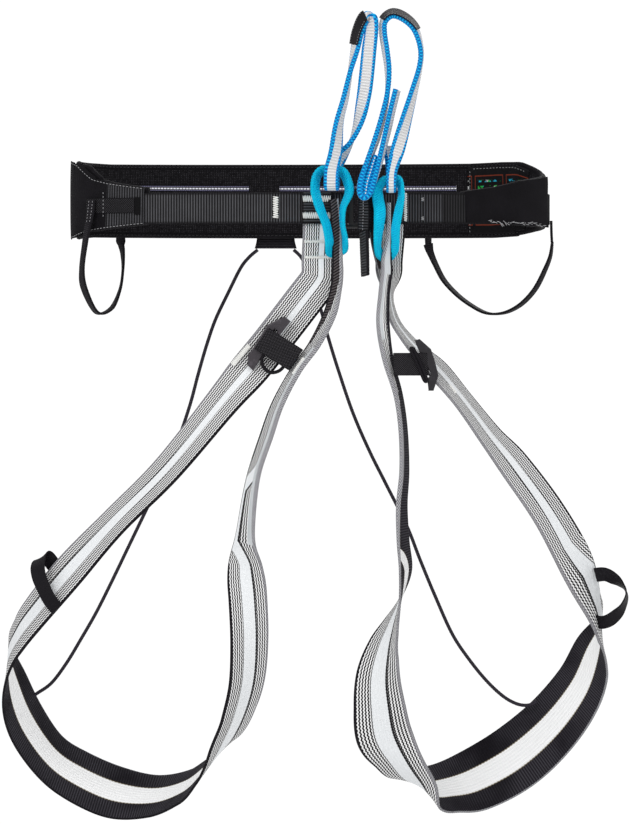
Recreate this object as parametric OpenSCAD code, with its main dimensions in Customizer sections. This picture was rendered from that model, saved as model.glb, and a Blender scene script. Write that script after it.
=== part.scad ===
// Climbing harness: waist belt with two sling tie-in loops, two gear loops,
// two contoured leg loops with release hooks, and two elastic risers.
// The frame is upright, as worn: +X to the viewer's right when the harness is seen from
// the front, +Y towards the wearer's back, +Z up. The origin is the centre of the waist.

/* [Waist belt] */
// Width of the waist loop, side to side
belt_w = 379; // [376:1:382]
// Depth of the waist loop, front to back
belt_d = 130; // [128:1:132]
// Height of the padded back panel
panel_h = 62; // [56:1:64]
// Thickness of the back panel
panel_t = 5; // [4:0.5:5]
// Width of the waist webbing
webbing_w = 25; // [24:1:26]
// Thickness of the waist webbing
webbing_t = 2; // [1.6:0.2:2]

/* [Leg loops] */
// Thickness of the leg strap
strap_t = 2; // [1.6:0.2:2]
// How full the leg strap is cut, 1 for the sewn width
strap_fullness = 1; // [0.94:0.02:1]

/* [Tie-in loops] */
// Width of the sling webbing
sling_w = 12; // [10:1:12]
// Thickness of the sling webbing
sling_t = 2.2; // [1.8:0.2:2.2]
// Width of the connector loops' webbing
connector_w = 12; // [10:1:12]
// Thickness of the connector loops' webbing
connector_t = 2.4; // [2:0.2:2.4]

/* [Gear loops and risers] */
// Width of the gear loops' webbing
gear_w = 8; // [6:1:9]
// Thickness of the gear loops' webbing
gear_t = 1.8; // [1.4:0.2:2]
// Diameter of the elastic risers
riser_d = 2.8; // [2:0.2:3]

/* [Hidden] */
$fn = 32;

half_w = belt_w / 2;
half_d = belt_d / 2;
webbing_z = -7;
gap = 0.6;
panel_in = webbing_t / 2 + gap + panel_t / 2;
inner_face = panel_in + panel_t / 2;
cover_t = 1;
cover_out = webbing_t / 2 + gap + cover_t / 2;
tape_t = 0.8;
tape_in = inner_face + gap + tape_t / 2;
patch_t = 1.2;
patch_out = cover_out + cover_t / 2 + gap + patch_t / 2;
ring_steps = 4;
riser_sides = 8;

// Belt angles run anticlockwise from the wearer's left end (+X), seen from above:
// 90 is the middle of the back and 270 is the middle of the front. Every band has its
// stations on the same angles, so that the layers nest.
belt_step = 4;
webbing_start = -74;
webbing_end = 278;
panel_start = -50;
panel_end = 226;
// Height of the panel's top and bottom edges at belt angles, as [angle, z]
panel_top = [[-50, 6.5], [-46, 8], [-38, 10.5], [-26, 16], [-10, 19], [0, 21], [9, 23.5],
    [19, 28.5], [26, 32], [34, 32], [46, panel_h / 2], [150, panel_h / 2 - 1],
    [180, panel_h / 2 + 1], [187, 31], [194, 29], [199, 24], [205, 17.5], [213, 14],
    [226, 10]];
panel_bottom = [[-50, -18], [-38, -19], [-26, -20.5], [-10, -21.5], [0, -22.5], [9, -24],
    [19, -26], [28, -28], [38, 2 - panel_h / 2], [160, 2 - panel_h / 2],
    [180, -panel_h / 2], [190, -30], [202, -25.5], [208, -24], [226, -20]];

function unit(v) = v / norm(v);

// Point on the waist loop, moved out from it by "out"
function belt_point(angle, out, z) = [
    (half_w + out) * cos(angle),
    (half_d + out) * sin(angle),
    z
];

// A station of a ribbon: [x, y, z, width, thickness, wx, wy, wz], where (wx, wy, wz)
// is the way across the ribbon.
function station(point, w, t, across) = concat(point, [w, t], across);

// Stations of an upright band that follows the waist loop
function belt_band(start, end, out, bottom, top, t) = [
    for (angle = [start : belt_step : end])
        let (low = lookup(angle, bottom), high = lookup(angle, top))
        station(belt_point(angle, out, (low + high) / 2), high - low, t, [0, 0, 1])
];

function flat_band(start, end, out, z, h, t) =
    belt_band(start, end, out, [[0, z - h / 2]], [[0, z + h / 2]], t);

function blend4(a, b, c, d, k) = 0.5 * (
    2 * b + (c - a) * k + (2 * a - 5 * b + 4 * c - d) * k * k
    + (3 * b - a - 3 * c + d) * k * k * k
);

// Smooth run through the rows, with extra rows between each two
function smooth(rows, steps) = let (last = len(rows) - 1) [
    for (i = [0 : last - 1])
        for (k = [0 : steps - 1])
            blend4(rows[max(i - 1, 0)], rows[i], rows[i + 1], rows[min(i + 2, last)], k / steps),
    rows[last]
];

function smooth_closed(rows, steps) = let (n = len(rows)) [
    for (i = [0 : n - 1])
        for (k = [0 : steps - 1])
            blend4(rows[(i + n - 1) % n], rows[i], rows[(i + 1) % n], rows[(i + 2) % n], k / steps)
];

function place(row) = [row[0], row[1], row[2]];

function way(rows, i, closed) = let (n = len(rows)) closed
    ? place(rows[(i + 1) % n]) - place(rows[(i + n - 1) % n])
    : place(rows[min(i + 1, n - 1)]) - place(rows[max(i - 1, 0)]);

// Four corners of a ribbon's section
function section(row, along) = let (
    t = unit(along),
    raw = [row[5], row[6], row[7]],
    across = unit(raw - (raw * t) * t),
    outward = cross(t, across),
    a = row[3] / 2 * across,
    b = row[4] / 2 * outward
) [place(row) - a - b, place(row) + a - b, place(row) + a + b, place(row) - a + b];

// Triangles that join each ring of "count" points to the next
function walls(n, spans, count) = [
    for (i = [0 : spans - 1])
        for (j = [0 : count - 1])
            let (
                k = (j + 1) % count,
                near = i * count,
                far = ((i + 1) % n) * count
            )
            each [[near + j, far + j, far + k], [near + j, far + k, near + k]]
];

// Ribbon of rectangular section through the rows, open or joined end to end
module ribbon(rows, closed = false) {
    n = len(rows);
    corners = [for (i = [0 : n - 1]) each section(rows[i], way(rows, i, closed))];
    spans = closed ? n : n - 1;
    caps = closed ? [] : [[0, 1, 2, 3], [for (j = [3 : -1 : 0]) (n - 1) * 4 + j]];
    polyhedron(corners, concat(walls(n, spans, 4), caps), convexity = 10);
}

// The part of a smoothed sling between two of its rows
function part(fine, first, last) = [
    for (i = [first * ring_steps : last * ring_steps]) fine[i]
];

// The same rows moved out from the ribbon's outer face
function lifted(rows, out) = [
    for (i = [0 : len(rows) - 1])
        let (
            row = rows[i],
            corners = section(row, way(rows, i, false)),
            point = place(row) + out * unit(corners[3] - corners[0])
        )
        station(point, row[3] + 0.6, label_t, [row[5], row[6], row[7]])
];

// Round tube along the points
module tube(points, d, sides) {
    n = len(points);
    rings = [
        for (i = [0 : n - 1])
            let (
                t = unit(points[min(i + 1, n - 1)] - points[max(i - 1, 0)]),
                a = unit(cross(t, [1, 0, 0])),
                b = cross(t, a)
            )
            for (j = [0 : sides - 1])
                points[i] + d / 2 * (cos(j * 360 / sides) * a + sin(j * 360 / sides) * b)
    ];
    ends = [
        [for (j = [0 : sides - 1]) j],
        [for (j = [sides - 1 : -1 : 0]) (n - 1) * sides + j]
    ];
    polyhedron(rings, concat(walls(n, n - 1, sides), ends), convexity = 10);
}

// ---- Routes of the straps: rows of [x, y, z, width, thickness, wx, wy, wz] ----

leg_t = strap_t;
full = strap_fullness;

left_leg_rows = [
    [8, -62, -58, 31 * full, leg_t, 1, 0, 0],
    [6, -62.4, -65, 31 * full, leg_t, 1, 0, -0.1],
    [-7, -64, -82, 31 * full, leg_t, 0.85, 0.1, -0.5],
    [-38, -67, -122, 31 * full, leg_t, 0.8, 0.1, -0.6],
    [-68, -70, -158, 31 * full, leg_t, 0.65, -0.45, -0.5],
    [-114, -70, -214, 31 * full, leg_t, 0.52, -0.65, -0.52],
    [-156, -62, -256, 31 * full, leg_t, 0.5, -0.7, -0.5],
    [-191, -48, -294, 33 * full, leg_t, 0.55, -0.6, -0.55],
    [-218, -30, -326, 36 * full, leg_t, 0.47, -0.75, -0.35],
    [-233, -12, -346, 40 * full, leg_t, 0.32, -0.9, -0.16],
    [-242, 8, -366, 44 * full, leg_t, 0, -0.85, -0.5],
    [-239, 28, -391, 48 * full, leg_t, -0.35, -0.8, -0.35],
    [-229, 48, -419, 52 * full, leg_t, -0.45, -0.75, -0.4],
    [-210, 64, -447, 55 * full, leg_t, -0.38, -0.75, -0.48],
    [-188, 72, -463, 55 * full, leg_t, -0.35, -0.68, -0.62],
    [-158, 76, -476, 54 * full, leg_t, -0.2, -0.65, -0.74],
    [-127, 70, -479, 50 * full, leg_t, -0.1, -0.77, -0.64],
    [-102, 52, -471, 46 * full, leg_t, -0.1, -0.88, -0.5],
    [-86, 32, -457, 43 * full, leg_t, -0.3, -0.8, -0.5],
    [-76, 16, -444, 42 * full, leg_t, -0.45, -0.75, -0.45],
    [-67, 2, -430, 41 * full, leg_t, -0.5, -0.83, -0.1],
    [-58, -14, -410, 40 * full, leg_t, -0.5, -0.85, 0.1],
    [-51, -34, -383, 36 * full, leg_t, -0.75, -0.66, 0],
    [-49, -50, -351, 33 * full, leg_t, -0.9, -0.42, 0],
    [-50, -60, -319, 31 * full, leg_t, -0.98, -0.1, 0],
    [-52, -66, -291, 31 * full, leg_t, -0.87, 0.45, 0],
    [-52, -70, -266, 24 * full, 3, -0.6, 0.8, 0],
    [-46, -72, -222, 15, 4, -0.66, 0.75, 0],
    [-35, -73, -187, 15, 4, -0.66, 0.75, 0],
    [-26, -74, -162, 15, 4, -0.6, 0.8, 0],
    [-12, -74, -136, 14, 4, -0.6, 0.8, 0],
    [3, -73, -115, 13, 4, -0.7, 0.7, 0],
    [15, -72, -91, 12, 4.5, -0.8, 0.5, 0],
    [20, -71, -70, 10, 5, -0.95, 0.3, 0],
    [21, -71, -58, 10, 5, -0.95, 0.3, 0]
];

right_leg_rows = [
    [62, -60, -58, 22 * full, leg_t, 0.95, 0.3, 0],
    [62, -60, -76, 20 * full, leg_t, 0.3, 0.95, 0],
    [66, -60, -95, 20 * full, leg_t, 0.35, 0.93, 0.05],
    [75, -62, -109, 22 * full, leg_t, 0.4, 0.9, 0.1],
    [87, -65, -122, 26 * full, leg_t, 0.4, 0.87, 0.25],
    [101, -67, -136, 31 * full, leg_t, 0.45, 0.85, 0.3],
    [121, -69, -160, 31 * full, leg_t, 0.4, 0.87, 0.3],
    [143, -68, -189, 31 * full, leg_t, 0.48, 0.79, 0.38],
    [162, -64, -212, 31 * full, leg_t, 0.65, 0.6, 0.47],
    [188, -54, -248, 33 * full, leg_t, 0.67, 0.57, 0.47],
    [210, -36, -287, 36 * full, leg_t, 0.7, 0.63, 0.31],
    [226, -14, -323, 40 * full, leg_t, 0.35, 0.93, 0.1],
    [232, 4, -343, 43 * full, leg_t, 0, 0.8, 0.6],
    [226, 20, -364, 47 * full, leg_t, -0.54, 0.75, 0.3],
    [215, 38, -392, 51 * full, leg_t, -0.66, 0.6, 0.44],
    [193, 56, -422, 54 * full, leg_t, -0.67, 0.45, 0.59],
    [164, 68, -448, 55 * full, leg_t, -0.55, 0.25, 0.8],
    [132, 68, -466, 54 * full, leg_t, -0.37, 0.35, 0.87],
    [109, 56, -472, 48 * full, leg_t, -0.4, 0.45, 0.8],
    [94, 38, -472, 44 * full, leg_t, -0.6, 0.3, 0.75],
    [82, 20, -464, 44 * full, leg_t, -0.8, 0.5, 0.1],
    [71, 2, -450, 44 * full, leg_t, -0.8, 0.5, -0.2],
    [59, -14, -429, 46 * full, leg_t, -0.98, 0.1, -0.15],
    [55, -30, -405, 43 * full, leg_t, -0.98, 0.2, 0],
    [54, -42, -381, 40 * full, leg_t, -0.88, 0.48, 0],
    [58, -52, -358, 36 * full, leg_t, -0.67, 0.74, 0],
    [64, -59, -339, 32 * full, leg_t, -0.4, 0.92, 0],
    [71, -64, -318, 30 * full, leg_t, 0, 1, 0],
    [75, -68, -295, 27 * full, leg_t, 0.35, 0.93, 0],
    [73, -71, -271, 20 * full, 3, 0.45, 0.9, 0],
    [72, -73, -243, 15, 4, 0.5, 0.86, 0],
    [74, -74, -215, 15, 4, 0.4, 0.9, 0],
    [73, -75, -183, 15, 4, 0.35, 0.93, 0],
    [69, -76, -155, 14, 4, 0.4, 0.9, 0],
    [61, -77, -127, 13, 4, 0.6, 0.8, 0],
    [57, -77, -99, 12, 4, 0.85, 0.5, 0],
    [58, -75, -75, 10, 5, 0.9, 0.35, 0],
    [60, -73, -58, 10, 5, 0.95, 0.3, 0]
];

left_anchor_rows = [
    [9, -62, -3, 31 * full, leg_t, 1, 0, 0],
    [9, -62, -24, 31 * full, leg_t, 1, 0, 0],
    [8, -62, -52, 31 * full, leg_t, 1, 0, 0]
];
right_anchor_rows = [
    [63, -57, -3, 24 * full, leg_t, 1, 0.12, 0],
    [63, -57, -24, 24 * full, leg_t, 1, 0.12, 0],
    [62, -60, -52, 22 * full, leg_t, 1, 0.15, 0]
];
left_inner_anchor_rows = [
    [18, -71, 0, 8, 5, -0.95, 0.3, 0],
    [20, -71, -20, 9, 5, -0.95, 0.3, 0],
    [21, -71, -52, 10, 5, -0.95, 0.3, 0]
];
right_inner_anchor_rows = [
    [62, -73, -3, 8, 4.5, 0.95, 0.3, 0],
    [62, -73, -27, 9, 4.5, 0.95, 0.3, 0],
    [60, -73, -52, 10, 4.5, 0.95, 0.3, 0]
];

left_connector_rows = [
    [15.5, -79, 22.5, connector_w, connector_t, 0, -0.83, 0.55],
    [25, -79, 21, connector_w, connector_t, 0.3, -0.83, 0.5],
    [29.5, -79, 12, connector_w, connector_t, 0.5, -0.83, 0.2],
    [30, -79, 4, connector_w, connector_t, 0.5, -0.85, 0],
    [25.5, -80, -7, connector_w, connector_t, 0.3, -0.95, 0],
    [25, -80, -20, 11, connector_t, 0.2, -0.97, 0],
    [27, -78, -31, 10, connector_t, 0.3, -0.9, -0.3],
    [26.5, -72.5, -38.5, 9, connector_t, 0.3, -0.3, -0.9],
    [20, -66.5, -41.5, 9, connector_t, 0, 0, -1],
    [14.5, -72.5, -41, 9.5, connector_t, -0.3, -0.3, -0.9],
    [14.5, -78, -34, 11, connector_t, -0.5, -0.8, -0.2],
    [12, -80, -20, 11, connector_t, -0.55, -0.83, 0],
    [7, -80, -7, connector_w, connector_t, -0.55, -0.83, 0],
    [3.5, -79, 6, connector_w, connector_t, -0.55, -0.83, 0],
    [4.2, -79, 16.5, 11.5, connector_t, -0.45, -0.83, 0.3],
    [8.5, -79, 22.3, 11, connector_t, -0.25, -0.83, 0.5]
];
right_connector_rows = [
    [63.5, -84, 15, connector_w, connector_t, 0, -0.83, 0.55],
    [69.5, -84, 13.8, 11.5, connector_t, 0.25, -0.83, 0.5],
    [71.6, -84, 3, 11.5, connector_t, 0.3, -0.95, 0],
    [69.5, -84, -9, 11, connector_t, 0.5, -0.85, 0],
    [67, -83, -24, 10, connector_t, 0.6, -0.8, 0],
    [66.5, -77, -39, 9.5, connector_t, 0.4, -0.4, -0.8],
    [60.5, -66.3, -46, 9, connector_t, 0, 0, -1],
    [53.5, -75, -42, 9.5, connector_t, -0.3, -0.3, -0.9],
    [53, -81, -31, 11, connector_t, -0.5, -0.8, -0.2],
    [54, -81, -20, 11, connector_t, -0.7, -0.7, 0],
    [54.5, -80.5, -9, 10, connector_t, -0.95, -0.3, 0],
    [53, -80, 1, 9.5, connector_t, -0.95, -0.3, 0.1],
    [53.4, -81, 8.5, 8.5, connector_t, -0.85, -0.5, 0.2],
    [58, -83.5, 14.5, 10, connector_t, -0.4, -0.8, 0.4]
];

// The right sling is gathered where it turns round the top of its connector loop
bight_w = sling_w - 4;
label_t = 1;
label_out = sling_t / 2 + 1.5 * gap + label_t / 2;

left_sling_rows = [
    [18, -70.2, 23, sling_w, sling_t, 1, 0, 0],
    [17, -72.8, 12, sling_w, sling_t, 1, 0, 0],
    [16.5, -79, 8, sling_w, sling_t, 1, 0, 0],
    [16, -85.2, 12, sling_w, sling_t, 1, 0, 0],
    [16.5, -87.8, 23, sling_w, sling_t, 1, 0.1, 0],
    [19.5, -88, 38, sling_w, sling_t, 0.85, 0.5, 0],
    [22, -87, 60, sling_w, sling_t, 0.5, 0.87, 0],
    [27, -85, 80, sling_w, sling_t, 0.3, 0.95, 0],
    [31, -83, 100, sling_w, sling_t, 0, 1, 0],
    [35, -82, 118, sling_w, sling_t, -0.45, 0.87, 0],
    [38, -82, 132, sling_w, sling_t, -0.55, 0.8, 0.1],
    [43, -82, 143, sling_w, sling_t, -0.5, 0.75, 0.4],
    [48, -84, 143, sling_w, sling_t, -0.5, 0.8, 0.3],
    [48, -86, 134, sling_w, sling_t, -0.85, 0.5, 0],
    [46, -86, 118, sling_w, sling_t, -0.97, 0.2, 0],
    [44, -86, 98, sling_w, sling_t, -1, 0.1, 0],
    [42, -84, 82, sling_w, sling_t, -0.95, 0.3, 0],
    [38, -80, 62, sling_w, sling_t, -0.6, 0.8, 0],
    [32, -76, 46, sling_w, sling_t, 0, 1, 0],
    [24, -71.5, 34, sling_w, sling_t, 0.8, 0.5, 0]
];

right_sling_rows = [
    [68, -87, 86, sling_w, sling_t, 0.3, 0.95, 0],
    [64, -88, 70, sling_w, sling_t, 0.3, 0.95, 0],
    [60, -89, 52, sling_w, sling_t, 0.3, 0.95, 0],
    [54, -90, 28, sling_w, sling_t, 0.2, 0.98, 0],
    [49, -90, 12, sling_w, sling_t, 0, 1, 0],
    [46, -90, 4, sling_w, sling_t, 0, 1, 0],
    [42, -90, 1, sling_w, sling_t, 0, 1, 0],
    [39, -90, 5, sling_w, sling_t, 0, 1, 0],
    [40, -90, 15, sling_w, sling_t, 0, 1, 0],
    [45, -90, 29, sling_w, sling_t, 0.2, 0.98, 0],
    [52, -88, 48, sling_w, sling_t, 0.3, 0.95, 0],
    [57, -87, 66, sling_w, sling_t, 0.2, 0.98, 0],
    [60.5, -86, 84, sling_w, sling_t, 0, 1, 0],
    [61, -86, 102, sling_w, sling_t, -0.2, 0.95, 0],
    [59, -85, 118, sling_w, sling_t, -0.3, 0.93, 0],
    [57, -84, 132, sling_w, sling_t, -0.3, 0.9, 0.1],
    [58, -84, 141, sling_w, sling_t, -0.2, 0.85, 0.3],
    [65, -84, 146, sling_w, sling_t, 0, 0.85, 0.4],
    [75, -84, 142, sling_w, sling_t, 0.1, 0.87, 0.4],
    [83, -84, 133, sling_w, sling_t, 0.2, 0.9, 0.2],
    [87, -84, 118, sling_w, sling_t, 0.1, 1, 0],
    [86, -85, 104, sling_w, sling_t, 0.1, 1, 0],
    [81, -87, 84, sling_w, sling_t, 0.4, 0.9, 0],
    [75, -89, 62, sling_w, sling_t, 0.7, 0.7, 0],
    [69, -91, 40, sling_w, sling_t, 0.95, 0.3, 0],
    [64.5, -92.8, 24, bight_w + 1, sling_t, 1, 0.1, 0],
    [63.5, -92.8, 15, bight_w, sling_t, 1, 0, 0],
    [63.5, -90.2, 8.8, bight_w, sling_t, 1, 0, 0],
    [63.5, -84, 6.2, bight_w, sling_t, 1, 0, 0],
    [63.5, -77.8, 8.8, bight_w, sling_t, 1, 0, 0],
    [63.5, -75.2, 15, bight_w, sling_t, 1, 0, 0],
    [63.5, -76, 26, bight_w + 1, sling_t, 1, 0, 0],
    [63, -78, 42, sling_w, sling_t, 1, 0, 0]
];

left_gear_rows = [
    [-177.3, -33.5, -18, gear_w, gear_t, 0.6, -0.8, 0],
    [-180, -31, -34, gear_w, gear_t, 0.5, -0.85, 0],
    [-182.6, -25, -55, gear_w, gear_t, 0.45, -0.9, 0],
    [-180.8, -15, -71, gear_w, gear_t, 0.6, -0.8, 0],
    [-171.5, 2, -89, gear_w, gear_t, 0.85, -0.5, 0],
    [-160.5, 18, -86, gear_w, gear_t, 0.8, -0.6, 0],
    [-153.6, 31, -71, gear_w, gear_t, 0.45, -0.9, 0],
    [-151.2, 39, -55, gear_w, gear_t, 0.4, -0.9, 0],
    [-151.4, 42, -42, gear_w, gear_t, 0.8, -0.6, 0],
    [-152.8, 40.5, -34, gear_w, gear_t, 0.95, 0.3, 0]
];
right_gear_rows = [
    [94.4, 58, -33.5, gear_w, gear_t, 0.95, 0.2, 0],
    [96, 58.5, -40, gear_w, gear_t, 0.7, 0.7, 0],
    [100.8, 57, -51, gear_w, gear_t, 0.54, 0.84, 0],
    [107.2, 54, -63, gear_w, gear_t, 0.54, 0.84, 0],
    [117.6, 48.5, -74.4, gear_w, gear_t, 0.54, 0.84, 0],
    [128.8, 42, -83, gear_w, gear_t, 0.54, 0.84, 0],
    [140, 35.5, -89, gear_w, gear_t, 0.54, 0.84, 0],
    [150, 29.5, -90, gear_w, gear_t, 0.54, 0.84, 0],
    [160, 23, -87.5, gear_w, gear_t, 0.54, 0.84, 0],
    [170.4, 16.5, -80.8, gear_w, gear_t, 0.54, 0.84, 0],
    [180, 10, -69.6, gear_w, gear_t, 0.5, 0.86, 0],
    [187.2, 4, -55.2, gear_w, gear_t, 0.4, 0.9, 0],
    [191.4, -1, -44, gear_w, gear_t, 0.25, 0.96, 0],
    [192.8, -4, -33.5, gear_w, gear_t, 0.1, 1, 0]
];

left_riser_route = [
    [-43, 67, -38], [-50, 68, -44], [-57, 69, -53], [-67, 70, -73], [-77, 71, -94],
    [-84, 72, -114], [-91, 73, -138], [-98, 73, -164], [-109, 74, -196], [-122, 74, -225],
    [-136, 74, -254], [-149, 73, -281], [-161, 71, -306], [-173, 69, -330], [-185, 67, -351],
    [-197, 64, -371], [-209, 61, -387], [-220, 59, -395]
];
right_riser_route = [
    [-14, 67, -38], [-8, 68, -44], [-3, 69, -54], [7, 70, -83], [14, 71, -109],
    [23, 72, -138], [34, 72, -170], [47, 72, -200], [60, 72, -226], [77, 71, -260],
    [88, 70, -288], [100, 69, -317], [114, 68, -348], [128, 66, -369], [142, 64, -386],
    [155, 62, -398], [166, 60, -404], [175, 59, -405], [182, 58, -402]
];

left_band_rows = [
    [-16, -78, -125, 20, 1.6, 0.58, 0, 0.81],
    [-27, -77, -118, 20, 1.6, 0.58, 0, 0.81],
    [-37, -75.4, -112, 20, 1.6, 0.58, 0, 0.81]
];
right_band_rows = [
    [68, -84, -131, 18, 1.6, 0, 0, 1],
    [78, -84, -131, 18, 1.6, 0, 0, 1],
    [90, -83, -131, 18, 1.6, 0, 0, 1]
];

// Outlines of the hooks, seen from the front, in x and z
left_hook_outline = [
    [-35, -100], [-21, -93], [-16, -97], [-24, -107], [-32, -119], [-40, -127],
    [-46, -136], [-50, -132], [-50, -124], [-44, -115]
];
right_hook_outline = [
    [82, -112], [86, -111], [95, -119], [98, -128], [101, -140], [97, -152],
    [93, -152], [92, -142], [95, -140], [91, -123], [86, -122]
];

// ---- Waist belt ----

module back_panel()
    color("#1d1a1e")
        ribbon(belt_band(panel_start, panel_end, -panel_in, panel_bottom, panel_top, panel_t));

// Outer cover of the left front wing
module wing_cover()
    color("#201d22")
        ribbon(belt_band(178, panel_end, cover_out, panel_bottom, panel_top, cover_t));

module wing_patch()
    color("#2a2a2b")
        ribbon(flat_band(202, 222, patch_out, webbing_z + 2.5, 12, patch_t));

// One band of webbing right round the waist, from one side of the buckle to the other
module waist_webbing()
    color("#2b2a2c")
        ribbon(flat_band(webbing_start, webbing_end, 0, webbing_z, webbing_w, webbing_t));

// Second layer of webbing, sewn down beside the buckle
module doubled_webbing()
    color("#2b2a2c")
        ribbon(flat_band(294, 302, webbing_t + gap, webbing_z, webbing_w, webbing_t));

module reflective_tape()
    color("#c9c6e0")
        for (span = [[50, 98], [106, 158]])
            ribbon(flat_band(span[0], span[1], -tape_in, 11, 5, tape_t));

module waist_label()
    color("#17151a")
        ribbon(belt_band(18, 46, -tape_in,
            [for (edge = panel_bottom) [edge[0], edge[1] + 3]],
            [for (edge = panel_top) [edge[0], edge[1] - 3]], tape_t));

module size_tag()
    color("#d6582a")
        ribbon(flat_band(166, 170, -tape_in, 25, 6, tape_t));

module stitch_block(x, y, z, along, high)
    translate([x - along / 2, y, z - high / 2])
        cube([along, 0.8, high]);

module waist_bar_tacks()
    color("#e8e8e6") {
        for (z = [0.5, -12.5])
            stitch_block(5, -66.8, z, 22, 5);
        stitch_block(-28, -66.2, webbing_z, 4, 18);
        stitch_block(74, -64.2, webbing_z, 3, 22);
    }

// ---- Buckle ----

buckle_x = 40;
buckle_w = 30;
buckle_h = 32;
buckle_y = -66;
buckle_bar = 3.4;
slider_t = 2.4;
slider_y = buckle_y - 3.2;

module bar(x, y, d, h)
    translate([x, y, webbing_z - h / 2])
        cylinder(h = h, d = d);

module buckle_frame()
    color("#1b1a1d") {
        for (side = [-1, 1])
            bar(buckle_x + side * (buckle_w - buckle_bar) / 2, buckle_y, buckle_bar, buckle_h);
        for (side = [-1, 1])
            translate([buckle_x, buckle_y, webbing_z + side * (buckle_h - buckle_bar) / 2])
                cube([buckle_w, buckle_bar, buckle_bar], center = true);
    }

module buckle_slider()
    color("#252428")
        difference() {
            translate([buckle_x, slider_y, webbing_z])
                cube([20, slider_t, buckle_h - 4], center = true);
            for (side = [-1, 1])
                translate([buckle_x + side * 4.5, slider_y, webbing_z])
                    cube([4, 6, webbing_w + 0.8], center = true);
        }

module webbing_tail()
    color("#2a282b")
        ribbon(smooth([
            [42, -72.5, -26, 22, 2, 0.25, -0.95, 0],
            [42.5, -74, -42, 22, 2, 0.25, -0.95, 0],
            [43, -75, -61, 20, 2, 0.25, -0.95, 0]
        ], 3));

// ---- Gear loops ----

module left_gear_anchor()
    color("#242226") {
        ribbon(smooth([
            [-175.5, -32.3, 0, gear_w, gear_t, 0.8, -0.6, 0],
            [-176.5, -32.6, -14.5, gear_w, gear_t, 0.8, -0.6, 0]
        ], 2));
        ribbon(smooth([
            [-153, 39.2, -22, gear_w, gear_t, 0.91, 0.41, 0],
            [-153, 39.2, -31.5, gear_w, gear_t, 0.91, 0.41, 0]
        ], 2));
    }

module left_gear_loop()
    color("#2a272b")
        ribbon(smooth(left_gear_rows, ring_steps));

module right_gear_anchor()
    color("#242226") {
        ribbon(smooth([
            [192.4, -4, 4, gear_w, gear_t, 0, 1, 0],
            [192.4, -4, -30, gear_w, gear_t, 0, 1, 0]
        ], 2));
        ribbon(smooth([
            [94.4, 57, -22, gear_w, gear_t, 0.98, -0.19, 0],
            [94.4, 57, -30, gear_w, gear_t, 0.98, -0.19, 0]
        ], 2));
    }

module right_gear_loop()
    color("#2a272b")
        ribbon(smooth(right_gear_rows, ring_steps));

// ---- Risers ----

module riser_tab()
    color("#1c1a1d")
        translate([-45, half_d + gap + webbing_t / 2, -36])
            cube([33, 2.4, 26]);

module left_riser()
    color("#37343c")
        tube(left_riser_route, riser_d, riser_sides);

module right_riser()
    color("#37343c")
        tube(right_riser_route, riser_d, riser_sides);

// ---- Connector loops and strap anchors ----

module left_connector_loop()
    color("#10bdee")
        ribbon(smooth_closed(left_connector_rows, ring_steps), closed = true);

module right_connector_loop()
    color("#10bdee")
        ribbon(smooth_closed(right_connector_rows, ring_steps), closed = true);

module left_strap_anchor()
    color("#d9dbdd")
        ribbon(smooth(left_anchor_rows, 3));

module right_strap_anchor()
    color("#d9dbdd")
        ribbon(smooth(right_anchor_rows, 3));

module left_inner_anchor()
    color("#3b3638")
        ribbon(smooth(left_inner_anchor_rows, 3));

module right_inner_anchor()
    color("#c9cccf")
        ribbon(smooth(right_inner_anchor_rows, 3));

module anchor_bar_tacks()
    color("#f0f0ee")
        for (z = [-33, -44])
            stitch_block(8, -63.8, z, 26, 3);

// ---- Tie-in slings ----

module left_sling()
    color("#d9d9d9")
        ribbon(smooth_closed(left_sling_rows, ring_steps), closed = true);

module right_sling()
    color("#d9d9d9")
        ribbon(smooth(right_sling_rows, ring_steps));

module left_sling_label()
    color("#2b2a2c")
        ribbon(lifted(part(smooth_closed(left_sling_rows, ring_steps), 9.5, 10.75), label_out));

module right_sling_label()
    color("#2b2a2c")
        ribbon(lifted(part(smooth(right_sling_rows, ring_steps), 16, 19), label_out));

// ---- Leg loops ----

module left_leg_strap()
    color("#c8cbce")
        ribbon(smooth(left_leg_rows, 3));

module right_leg_strap()
    color("#c8cbce")
        ribbon(smooth(right_leg_rows, 3));

// Closed band round the strap: the steps across and out from the strap's centre
tab_steps = [[19, 0], [15, 3.5], [0, 4.5], [-18, 5.5], [-26, 5], [-30, 0], [-26, -4.5],
    [-18, -4], [0, -4], [15, -3]];

module left_label_tab()
    color("#242226")
        ribbon(smooth_closed([
            for (step = tab_steps)
                let (
                    centre = [-204, -40, -309],
                    across = unit([0.51, -0.68, -0.45]),
                    along = unit([-0.6, 0.36, -0.72]),
                    outward = cross(along, across)
                )
                station(centre + step[0] * across + step[1] * outward, 12, 1.2, along)
        ], 2), closed = true);

module right_label_tab()
    color("#242226")
        ribbon(smooth([
            [227, -20, -298.8, 12, 1.2, 0, 0.4, -0.92],
            [234.5, -24, -298.3, 12, 1.2, 0, 0.4, -0.92],
            [241.5, -25, -301.8, 12, 1.2, -0.23, 0.64, -0.73],
            [247.5, -24, -306.8, 12, 1.2, -0.21, 0.94, -0.25],
            [250.9, -23, -311.5, 12, 1.2, 0, 1, 0],
            [251.3, -22, -317, 12, 1.2, 0.25, 0.95, 0],
            [249, -21, -323.5, 12, 1.2, 0.43, 0.89, -0.14],
            [244.5, -20, -329.7, 12, 1.2, 0.56, 0.66, -0.5],
            [238.5, -19, -334.7, 12, 1.2, 0.43, 0.5, -0.74],
            [232.5, -17, -336.7, 12, 1.2, 0.1, 0.5, -0.86],
            [227, -14, -336, 12, 1.2, -0.1, 0.5, -0.86]
        ], 2));

module left_leg_bar_tacks()
    color("#f0f0ee")
        translate([-56, -71.5, -123])
            rotate([0, 38, 0])
                cube([3, 1, 18], center = true);

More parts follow.
